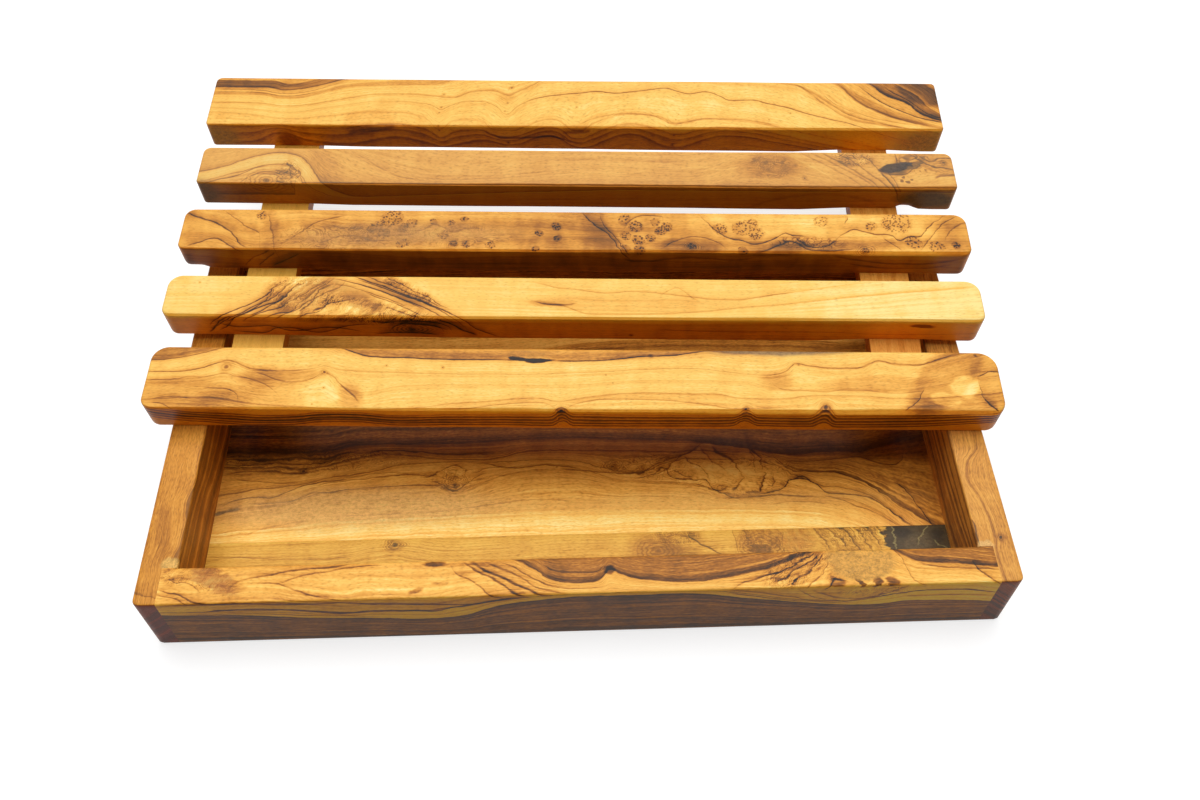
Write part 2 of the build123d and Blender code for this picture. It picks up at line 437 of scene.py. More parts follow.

    # Painted shade: a plank's sanded edge along its front and its front face are deepened and reddened,
    # as they lie in shade
    for start, end, tint_here in ((-0.5, -0.7, painted_edge_shade), (-0.75, -0.97, painted_front_shade)):
        front = node("MapRange", {"Value": facing.outputs["Y"], "From Min": start, "From Max": end})
        tinted = {0: front, 6: colour, 7: linear(tint_here)}
        colour = node("Mix", tinted, data_type="RGBA", blend_type="MULTIPLY").outputs[2]

    # Open pores are dark and dent the surface, and the oil is duller along the fibres
    pores = node("MapRange", {"Value": pores, "From Min": 0.58, "From Max": 0.7})
    dark_pores = node("Math", {0: pores, 1: 0.16}, operation="MULTIPLY")
    colour = {0: dark_pores, 6: colour, 7: linear(pore_colour)}
    colour = node("Mix", colour, data_type="RGBA").outputs[2]
    smooth, dull = oil_roughness
    rough = {"Value": fibres, "From Min": 0.3, "From Max": 0.7, "To Min": smooth, "To Max": dull}
    rough = node("MapRange", rough)
    hollow = node("Math", {0: fibres, 1: -0.4, 2: pores}, operation="MULTIPLY_ADD")
    bump = node("Bump", {"Height": hollow, "Strength": 0.35, "Distance": pore_dent * MM}, invert=True)
    surface = {"Base Color": colour, "Roughness": rough, "IOR": oil_ior, "Normal": bump}
    surface = node("BsdfPrincipled", {**surface, "Specular IOR Level": oil_specular})
    node("OutputMaterial", {"Surface": surface})
    return material


def cuts(low, high, ease, step):
    """Where to cut a length: close together over its eased ends, then about one step apart."""
    near = ease * (1 - np.cos(np.linspace(0, np.pi / 2, ease_cuts)))[:-1]
    count = max(2, round((high - low - 2 * ease) / step) + 1)
    return np.concatenate([low + near, np.linspace(low + ease, high - ease, count), high - near[::-1]])


def skin(xs, ys, zs, left_out=None):
    """A block's skin, cut at these places, less the cells left out: its corners and its quads."""
    middles = [(places[1:] + places[:-1]) / 2 for places in (xs, ys, zs)]
    cells = np.meshgrid(*middles, indexing="ij")
    solid = np.ones(cells[0].shape, int) if left_out is None else 1 - left_out(*cells).astype(int)
    solid = np.pad(solid, 1)
    number = np.arange(len(xs) * len(ys) * len(zs)).reshape(len(xs), len(ys), len(zs))
    quads = []
    for axis in range(3):
        inner = [slice(1, -1)] * 3
        inner[axis] = slice(None)
        change = np.moveaxis(np.diff(solid, axis=axis)[tuple(inner)], axis, 0)
        corner = np.moveaxis(number, axis, 0)
        around = [corner[:, :-1, :-1], corner[:, 1:, :-1], corner[:, 1:, 1:], corner[:, :-1, 1:]]
        around = np.stack(around, -1)
        for side in (-1, 1):
            found = around[change == side]
            quads.append(found[:, ::-1] if (side > 0) != (axis == 1) else found)
    quads = np.concatenate(quads)
    used, quads = np.unique(quads, return_inverse=True)
    points = np.stack(np.meshgrid(xs, ys, zs, indexing="ij"), -1).reshape(-1, 3)[used]
    return points, quads.reshape(-1, 4)


def round_over(inset, height, radius):
    """Rolls a square edge over: new distances from its two faces, for points that lay on them."""
    a, b = radius - inset, radius - height
    near = (a > 0) & (b > 0)
    scale = np.where(near, np.maximum(a, b) / np.maximum(np.hypot(a, b), 1e-9), 1)
    return np.where(near, radius - a * scale, inset), np.where(near, radius - b * scale, height)


def wander(points, reach, seed):
    """A smooth unevenness from -1 to 1 at each point, about one hill each reach mm."""
    return np.array([noise.noise(Vector(p) / reach + Vector((seed, 0, 0))) for p in points])


def piece(name, points, quads, placing, material, body, *nodes, slot):
    """Makes a wooden piece that stands for its CAD nodes. placing takes its own mm to the frame."""
    mesh = bpy.data.meshes.new(name)
    mesh.from_pydata((points * MM).tolist(), [], quads.tolist())
    mesh.materials.append(material)
    mesh.shade_smooth()
    mesh.set_sharp_from_angle(angle=radians(crease_angle))
    made = bpy.data.objects.new(name, mesh)
    bpy.context.scene.collection.objects.link(made)
    made.matrix_world = placing
    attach(made, body)
    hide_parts(*nodes)
    return made


def tray_rail(points):
    """Rolls over a rail's edges where it lies on the outside of the tray, and its inner top edge."""
    x, y, z = points.T.copy()
    # The tray's upright corners
    side, end = tray_half - abs(x), tray_back - abs(y)
    new_side, new_end = round_over(side, end, frame_corner_round)
    x, y = np.sign(x) * (tray_half - new_side), np.sign(y) * (tray_back - new_end)
    a, b = frame_corner_round - new_side, frame_corner_round - new_end
    in_corner = (a > 0) & (b > 0)
    reach = np.maximum(np.hypot(a, b), 1e-9)
    inset = np.where(in_corner, frame_corner_round - reach, np.minimum(new_side, new_end))
    to_x = np.where(in_corner, a / reach, new_side < new_end)
    to_y = np.where(in_corner, b / reach, new_side >= new_end)
    for height, radius, up in ((tray_top - z, rail_top_round, 1), (z.copy(), rail_foot_round, -1)):
        new_inset, new_height = round_over(inset, height, radius)
        shift = new_inset - inset
        x, y = x - np.sign(x) * shift * to_x, y - np.sign(y) * shift * to_y
        z = z + up * (height - new_height)
    past_side, past_end = abs(x) - rail_inner_half, abs(y) - rail_inner_back
    inset, height = np.maximum(past_side, past_end), tray_top - z
    new_inset, new_height = round_over(inset, height, rail_top_round)
    x = x + np.sign(x) * (new_inset - inset) * (past_side > past_end)
    y = y + np.sign(y) * (new_inset - inset) * (past_side <= past_end)
    return np.stack([x, y, z + height - new_height], -1)


def floor_groove(x, y, z):
    """The step under the rails' inner edges that the floor is glued into."""
    return (abs(x) < floor_high.x) & (y > floor_front) & (y < floor_high.y) & (z < floor_high.z)


side_rail_left_wood = oiled_olive_wood(
    "olive_wood_side_rail_left",
    tray_top,
    lines=[
        [(-110, -2), (110, -2)],
        [(-110, 15), (20, 16), (38, 15), (44, 16), (58, 13.5), (62, 14), (66, 15), (78, 15.2), (87, 13),
         (110, 15)],
        [(-110, 27), (30, 26), (40, 25), (50, 22.5), (70, 21), (110, 20)],
        [(-110, 45), (0, 42), (30, 38), (45, 34.5), (80, 35), (110, 33)],
        [(-110, 60), (110, 56)],
    ],
    rings=[(0, 0.52), (0.5, 0.48), (0.95, 0.46), (1.0, 0.64), (1.06, 0.45), (1.12, 0.76), (1.5, 0.62),
           (1.8, 0.74), (2.0, 0.42), (2.2, 0.7), (2.5, 0.52), (2.6, 0.76), (2.95, 0.55), (3.0, 0.36),
           (3.1, 0.6), (3.3, 0.78), (3.5, 0.48), (3.6, 0.7), (4.0, 0.52)],
    veins=[([(96, -8), (102.5, 2), (104, 6), (105.5, 14)], 4.0, 0.25)],
    patches=[(72, 7, 16, 3, 12, 1.0, 0.12), (88.5, 14, 3.5, 4.5, 0, 0.5, "#d3a353")],
    lean=-1,
    wash=("#c8822a", 0.25),
    end_tint="#b26c22",
    seed=1,
    bustle=0.1,
)
side_rail_right_wood = oiled_olive_wood(
    "olive_wood_side_rail_right",
    tray_top,
    lines=[
        [(-110, -2), (110, -2)],
        [(-110, 8), (-92, 9), (-86, 8), (-78, 8), (-65, 10), (-55, 13), (-45, 11), (-38, 5), (-25, 4),
         (110, 4)],
        [(-110, 18), (110, 17)],
        [(-110, 26), (-88, 27), (-70, 30), (-55, 31), (-40, 32), (-20, 33), (110, 36)],
        [(-110, 38), (-85, 40), (-60, 43), (-45, 43), (-30, 42), (110, 46)],
        [(-110, 54), (110, 60)],
    ],
    rings=[(0, 0.41), (0.8, 0.46), (1.0, 0.56), (1.1, 0.42), (1.8, 0.45), (2.0, 0.7), (2.1, 0.4),
           (2.35, 0.45), (2.5, 0.75), (2.6, 0.42), (2.75, 0.5), (2.85, 0.8), (3.0, 0.4), (3.2, 0.75),
           (3.4, 0.42), (3.6, 0.65), (3.8, 0.5), (4.0, 0.8), (4.2, 0.45), (4.5, 0.5), (5.0, 0.6)],
    veins=[([(-90, 15.3), (-85, 15.8), (-80, 15), (-76, 16)], 1.2, 0.4)],
    patches=[(-90, 14, 2.2, 4, 0, 0.5, ("#e0b877", 0.6))],
    knots=[(-86.5, 5.3, 3.0)],
    lean=-1,
    wash=("#b8946c", 0.14),
    end_tint="#bf8a42",
    seed=2,
    bustle=0.12,
)
for side, wood in ((-1, side_rail_left_wood), (1, side_rail_right_wood)):
    low_x, high_x = sorted((side * tray_half, side * rail_inner_half))
    steps_in = [side * rail_lap_half, side * floor_high.x, side * (tray_half - frame_corner_round)]
    xs = np.unique(np.concatenate([cuts(low_x, high_x, rail_top_round, rail_step), steps_in]))
    ys = np.concatenate([
        cuts(tray_front, rail_inner_front, frame_corner_round, rail_step)[:-1],
        cuts(rail_inner_front, rail_inner_back, rail_top_round, rail_step),
        cuts(rail_inner_back, tray_back, frame_corner_round, rail_step)[1:],
    ])
    ys = np.unique(np.concatenate([ys, [floor_front, floor_high.y]]))
    zs = np.unique(np.concatenate([cuts(0, tray_top, rail_top_round, rail_step), [floor_high.z]]))

    def let_in(x, y, z):
        """Where the front and back rails are let into the side rail, and the floor's groove."""
        ends = (y < rail_inner_front) | (y > rail_inner_back)
        return floor_groove(x, y, z) | (ends & (abs(x) < rail_lap_half))

    points, quads = skin(xs, ys, zs, let_in)
    points = tray_rail(points)
    placing = Matrix.Rotation(radians(90 * side), 4, "Z")
    placing.translation = (side * tray_half * MM, 0, 0)
    own = np.array([placing.inverted() @ Vector(p * MM) for p in points]) / MM
    name = "side_rail_" + ("left" if side < 0 else "right")
    piece(name + "_wood", own, quads, placing, wood, "tray", name, slot="rail_wood")

# Front and back rails: two more olive rails, each let into the side rails' steps and glued. The front one
# is cut across the line where pale sapwood meets brown heartwood, with a burl beside it.
cross_rail_width = 17.5
front_rail_wood = oiled_olive_wood(
    "olive_wood_front_rail",
    tray_top,
    lines=[
        [(-190, -38), (0, -40), (190, -38)],
        [(-182, -10), (-165, -11), (-150, -12), (-130, -15), (-110, -17), (-90, -18), (-70, -20),
         (-60, -19.5), (-50, -17), (-42, -12), (-35, -9), (-15, -4.5), (0, -2.8), (20, -3.5), (40, -2.6),
         (50, -3), (62, -6), (72, -9), (85, -12), (95, -14), (110, -17), (125, -18.5), (135, -17.5),
         (145, -15.5), (160, -16), (182, -18)],
        [(-182, -8), (-165, -8), (-155, -6.5), (-140, -6.5), (-110, -11), (-100, -12.5), (-94, -11),
         (-65, -13), (-55, -10), (-45, -7), (-35, -4), (-15, -1.5), (0, -1), (40, -0.8), (55, -1), (75, -6),
         (90, -10.5), (105, -13), (115, -14.5), (125, -13), (135, -9), (150, -6), (165, -6), (182, -9)],
        [(-182, 23), (-60, 23), (-31, 18), (-25, 15), (-20, 12), (-15, 8), (-10, 6), (0, 5), (5, 5.3),
         (9, 7), (12, 11.5), (16, 9), (22, 6.5), (30, 5), (45, 4), (57, 5), (75, 8), (82, 10), (90, 13),
         (98, 16), (106, 20), (125, 25), (137, 17), (144, 12), (150, 11), (165, 10), (182, 8)],
        [(-182, 36), (0, 30), (60, 30), (110, 36), (150, 27), (182, 26)],
    ],
    rings=[(0, 0.78), (0.5, 0.7), (0.8, 0.74), (0.94, 0.82), (0.985, 0.94), (1.01, 0.3), (1.4, 0.28),
           (1.55, 0.5), (1.62, 0.28), (1.92, 0.3), (2.0, 0.85), (2.03, 0.25), (2.16, 0.3), (2.2, 0.5),
           (2.23, 0.27), (2.5, 0.26), (2.85, 0.32), (2.96, 0.42), (2.99, 0.88), (3.015, 0.84), (3.06, 0.66),
           (3.3, 0.6), (3.5, 0.66), (4.0, 0.62)],
    veins=[
        ([(-183, 8), (-178, 6), (-174, 5.2), (-170, 3), (-166, 1), (-160, 0)], 1.4, 0.4),
        ([(-183, 5), (-176, 3.5), (-172, 2), (-168, -1)], 0.9, 0.3),
        ([(-180, 13), (-176, 11), (-170, 10.5), (-166, 8), (-163, 5)], 0.9, 0.3),
        ([(-150, 9), (-143, 11), (-135, 12), (-128, 14), (-118, 15), (-108, 15.5), (-98, 18)], 1.5, 0.35),
        ([(-142, 9), (-130, 8), (-124, 6), (-115, 3), (-105, 0.5), (-100, -1)], 1.1, 0.3),
        ([(-132, 7.5), (-123, 11), (-112, 13), (-100, 15.5), (-85, 17)], 1.2, 0.28),
        ([(-57, 18), (-55, 12), (-50, 9), (-44, 4), (-39, 0), (-33, -3)], 1.6, 0.35),
        ([(-52, 18), (-45, 12), (-38, 8), (-30, 2), (-27, 0), (-22, -2)], 2.0, 0.45),
        ([(-49, 17.5), (-42, 12.5), (-33, 8), (-22, 2), (-19, 0), (-12, -2)], 2.2, 0.5),
        ([(-44, 17.5), (-36, 13.5), (-27, 9), (-20, 4), (-12, 1), (-5, -1)], 1.5, 0.3),
        ([(-38, 17.5), (-30, 13.5), (-22, 8.5), (-12, 3.5), (0, 2.2), (8, 2.6), (13, 4.5)], 1.0, 0.3),
        ([(-19, 18), (-16, 13.5), (-8, 10.3), (2, 10), (9, 12), (11, 17)], 1.0, 0.25),
        ([(64, -1), (70, 3), (76, 4.5), (82, 6), (90, 9), (97, 13), (105, 18)], 1.2, 0.42),
        ([(80, -1), (83, 3), (90, 5), (93, 8), (98, 11), (107, 17)], 1.4, 0.42),
        ([(89, -2), (92, 3), (97, 5), (101, 9), (104, 13), (109, 18)], 1.6, 0.42),
        ([(96, -3), (99, 1), (103, 4), (106, 8), (108, 13), (112, 18)], 1.3, 0.36),
        ([(104, -4), (107, 0), (110, 3), (115, 2)], 1.6, 0.5),
        ([(57, -1), (75, -7.5), (90, -12), (103, -14), (118, -17)], 1.2, 0.4),
        ([(92, -1), (98, -7), (104, -11), (112, -13.5), (120, -17)], 1.1, 0.35),
        ([(136, 18), (140, 12), (141.5, 6), (145, 1), (150, -2)], 1.2, 0.3),
        ([(170, 12), (173, 6), (176, 3), (179, 0), (183, -4)], 1.8, 0.45),
        ([(146, 10), (155, 8.5), (166, 7.5), (176, 7), (183, 6)], 1.3, 0.35),
        ([(-182, -0.8), (-165, -0.4), (-150, -0.8), (-140, -1.4), (-128, -2.4), (-115, -2.6), (-105, -2.3),
          (-98, -3), (-90, -4.6), (-80, -5.8), (-70, -6.4), (-60, -7), (-50, -7.6), (-40, -5.5),
          (-30, -2.6), (-24, -0.8)], 2.4, 0.4),
        ([(-165, -8.5), (-158, -7.3), (-150, -7), (-140, -7.6), (-130, -8), (-120, -9.8), (-110, -11.8),
          (-104, -12.8), (-98, -12.3), (-92, -11.4), (-80, -12), (-68, -12.2), (-60, -10.8), (-50, -9),
          (-42, -6.5), (-30, -3.6), (-20, -1.4)], 2.2, 0.45),
        ([(-174, -10), (-160, -10.6), (-148, -10.8), (-136, -12), (-124, -13.6), (-112, -14.8),
          (-100, -15.6), (-88, -16.8)], 1.2, 0.35),
        ([(60, -1.5), (70, -2.5), (78, -4.5), (86, -7), (94, -9.5), (100, -12.5), (106, -14)], 1.4, 0.3),
        ([(97, -2), (103, -6), (108, -9), (113, -11), (120, -12), (126, -11), (132, -8), (138, -4),
          (143, -0.6)], 2.0, 0.36),
        ([(114, -14), (122, -12.5), (130, -10.5), (138, -8.5), (146, -6.5), (156, -5.5), (168, -6),
          (176, -8), (183, -11)], 1.6, 0.36),
        ([(140, -10.5), (150, -11.2), (160, -10.8), (172, -11), (183, -12)], 1.2, 0.3),
        ([(158, -15.4), (172, -17), (183, -18.5)], 1.4, 0.3),
    ],
    patches=[
        (122, 11.5, 14.5, 9.5, 0, 0.3, "#cc9440"),
        (110, 1.5, 3, 2.2, 0, 0.6, 0.34),
        (119.5, 1.5, 1.2, 3.5, 20, 0.6, 0.5),
        (127.5, 1.2, 1.8, 3, -20, 0.6, 0.5),
        (134, 1, 3, 2.6, -20, 0.6, 0.42),
        (-72, 3.5, 2.2, 1, 20, 0.9, 0.35),
        (-62, 7, 3, 1, 0, 1.0, 0.25),
        (-63, 16.5, 4, 1.6, 0, 0.7, 0.45),
        (-160, 12.5, 14, 4.2, -32, 0.6, ("#a0602a", 0.6)),
        (160, -10, 45, 10, 0, 1.2, -0.16),
        (-149, 7.5, 5, 2, -15, 0.8, 0.22),
        (-162, 15, 7, 2.4, -10, 0.9, 0.12),
        (12, 11, 2.4, 2, 0, 0.8, 0.4),
        (-60, -14, 60, 3, 3, 1.0, -0.05),
    ],
    tangle=[(-161, 12, 16, 6, -28), (-176, 14, 6, 5, 0), (108, 11, 9, 9, 0), (92, 8, 16, 9, 30),
            (128, -5, 18, 7, 0)],
    winds=0.7,
    winds_turn=55,
    breadth=cross_rail_width,
    # The front face's tint is painted shade
    painted_front_shade="#f7ec83",
    seed=3,
    bustle=0.2,
)
back_rail_wood = oiled_olive_wood(
    "olive_wood_back_rail",
    tray_top,
    lines=[
        [(-190, -38), (-60, -34), (40, -37), (190, -36)],
        [(-190, -14), (-100, -18), (-20, -12), (60, -16), (190, -12)],
        [(-190, 4), (-120, 8), (-40, 2), (50, 9), (120, 5), (190, 8)],
        [(-190, 24), (0, 22), (190, 25)],
    ],
    rings=[(0, 0.55), (0.4, 0.66), (0.5, 0.85), (0.55, 0.6), (1.0, 0.7), (1.2, 0.9), (1.3, 0.6),
           (1.7, 0.55), (2.0, 0.8), (2.05, 0.55), (2.4, 0.6), (3.0, 0.7)],
    veins=[
        ([(-150, 12), (-90, 9), (-30, 13), (40, 8)], 1.4, 0.3),
        ([(-60, -8), (0, -6), (90, -10)], 1.2, 0.3),
    ],
    knots=[(60, 10, 2.5), (-110, -20, 3.0)],
    breadth=cross_rail_width,
    seed=4,
    bustle=0.2,
)
for name, wood, turn, low_y, high_y in (
    ("front_rail", front_rail_wood, 0, tray_front, rail_inner_front),
    ("back_rail", back_rail_wood, 180, rail_inner_back, tray_back),
):
    xs = cuts(-rail_lap_half, rail_lap_half, rail_top_round, rail_step)
    xs = np.unique(np.concatenate([xs, [-floor_high.x, floor_high.x, -rail_inner_half, rail_inner_half]]))
    ys = cuts(low_y, high_y, rail_top_round, rail_step)
    ys = np.unique(np.concatenate([ys, [floor_front, floor_high.y]]))
    ys = ys[(ys >= low_y) & (ys <= high_y)]
    points, quads = skin(xs, ys, zs, floor_groove)
    points = tray_rail(points)
    placing = Matrix.Rotation(radians(turn), 4, "Z")
    placing.translation = (0, (tray_back if turn else tray_front) * MM, 0)
    own = np.array([placing.inverted() @ Vector(p * MM) for p in points]) / MM
    piece(name + "_wood", own, quads, placing, wood, "tray", name, slot="rail_wood")

# Floor: three thin olive boards glued edge to edge, then into the rails' groove. The narrow one in front
# is the offcut of a burl, and ends in a patch of bark that grew into the wood.
floor_joint_ease = 0.15
floor_step = 5.0
floor_strip_wood = oiled_olive_wood(
    "olive_wood_floor_strip_front",
    floor_high.z,
    lines=[
        [(-182, -99), (0, -98), (182, -99)],
        [(-182, -80), (-100, -79), (-87, -76), (-70, -80), (0, -82), (182, -80)],
        [(-182, -69), (-140, -70), (-110, -69), (-96, -66.5), (-87.5, -66.5), (-78, -67.5), (-60, -70),
         (0, -68), (182, -70)],
        [(-182, -62), (-100, -60.5), (-87, -58), (-60, -61), (0, -59), (182, -61)],
        [(-182, -50), (182, -50)],
    ],
    rings=[(0, 0.42), (1, 0.38), (1.5, 0.42), (2.0, 0.4), (2.5, 0.36), (3.0, 0.4), (4.0, 0.4)],
    veins=[
        ([(49, -59), (52, -64), (57, -67.5), (62, -70), (67, -74)], 1.3, 0.4),
        ([(-178, -70), (-160, -68), (-140, -69.5), (-120, -70.5), (-104, -68)], 1.6, 0.12),
        ([(40, -64), (45, -62), (50, -63.5), (56, -66)], 1.6, 0.22),
        ([(76, -59), (79, -64), (79, -69), (80, -75)], 2.4, 0.3),
        ([(72, -59), (75, -64), (74.5, -69), (75, -75)], 3.0, 0.22),
        ([(92, -75), (95, -69), (94, -64), (97, -59)], 2.6, 0.3),
        ([(111, -59), (114, -64), (117, -68), (119, -75)], 2.4, 0.3),
        ([(117, -59), (121, -64), (125, -68), (128, -75)], 2.6, 0.26),
        ([(122, -59), (127, -63), (130, -69), (133, -75)], 2.2, 0.3),
        ([(127, -58), (133, -63), (136, -69), (139, -75)], 2.8, 0.26),
        ([(133, -58), (138, -62), (141, -68), (143, -75)], 2.4, 0.32),
        ([(139, -58), (143, -62), (145, -67), (146, -75)], 2.8, 0.3),
    ],
    patches=[
        (36, -69, 13, 10, 0, 0.7, 0.1),
        (48, -71, 10, 3, 0, 0.9, 0.14),
        (86, -71.8, 4.6, 2.2, 0, 0.5, 0.42),
        (84, -64, 9, 5, 0, 0.9, 0.08),
        (103, -66, 9, 8, 0, 0.8, ("#b86f26", 0.5)),
        (36, -70, 12, 8, 0, 0.8, ("#b56a24", 0.4)),
        (85, -67, 10, 9, 0, 0.8, ("#b56a24", 0.35)),
        (177, -76, 32, 80, 4, 0.04, "#3a2f24"),
        (160, -70, 8, 4, 20, 1.0, ("#6a5238", 0.5)),
        (153, -64, 4, 3, -30, 1.0, ("#1c1612", 0.6)),
        (170, -66, 4, 3, 30, 1.0, ("#1c1612", 0.6)),
        (149, -66, 0.5, 8, -5, 0.7, ("#b09662", 0.45)),
        (163, -65, 6, 0.35, 55, 0.7, ("#b09662", 0.45)),
        (171, -71, 4, 0.3, -35, 0.7, ("#b09662", 0.4)),
    ],
    knots=[(-87.5, -64, 5.5), (36, -70.5, 3.0)],
    whorls=[(36, -70.5, 12, 9, 0), (86, -70, 13, 11, 0), (-87.5, -64, 7, 4, 0)],
    tangle=[(45, -63, 12, 5, 0), (101, -66, 11, 9, 0), (130, -66, 20, 12, 0), (84, -66, 10, 9, 0)],
    winds=0.7,
    winds_turn=-62,
    tint="#f2fff0",
    wash=("#dca24e", 0.15),
    seed=5,
    bustle=0.16,
)
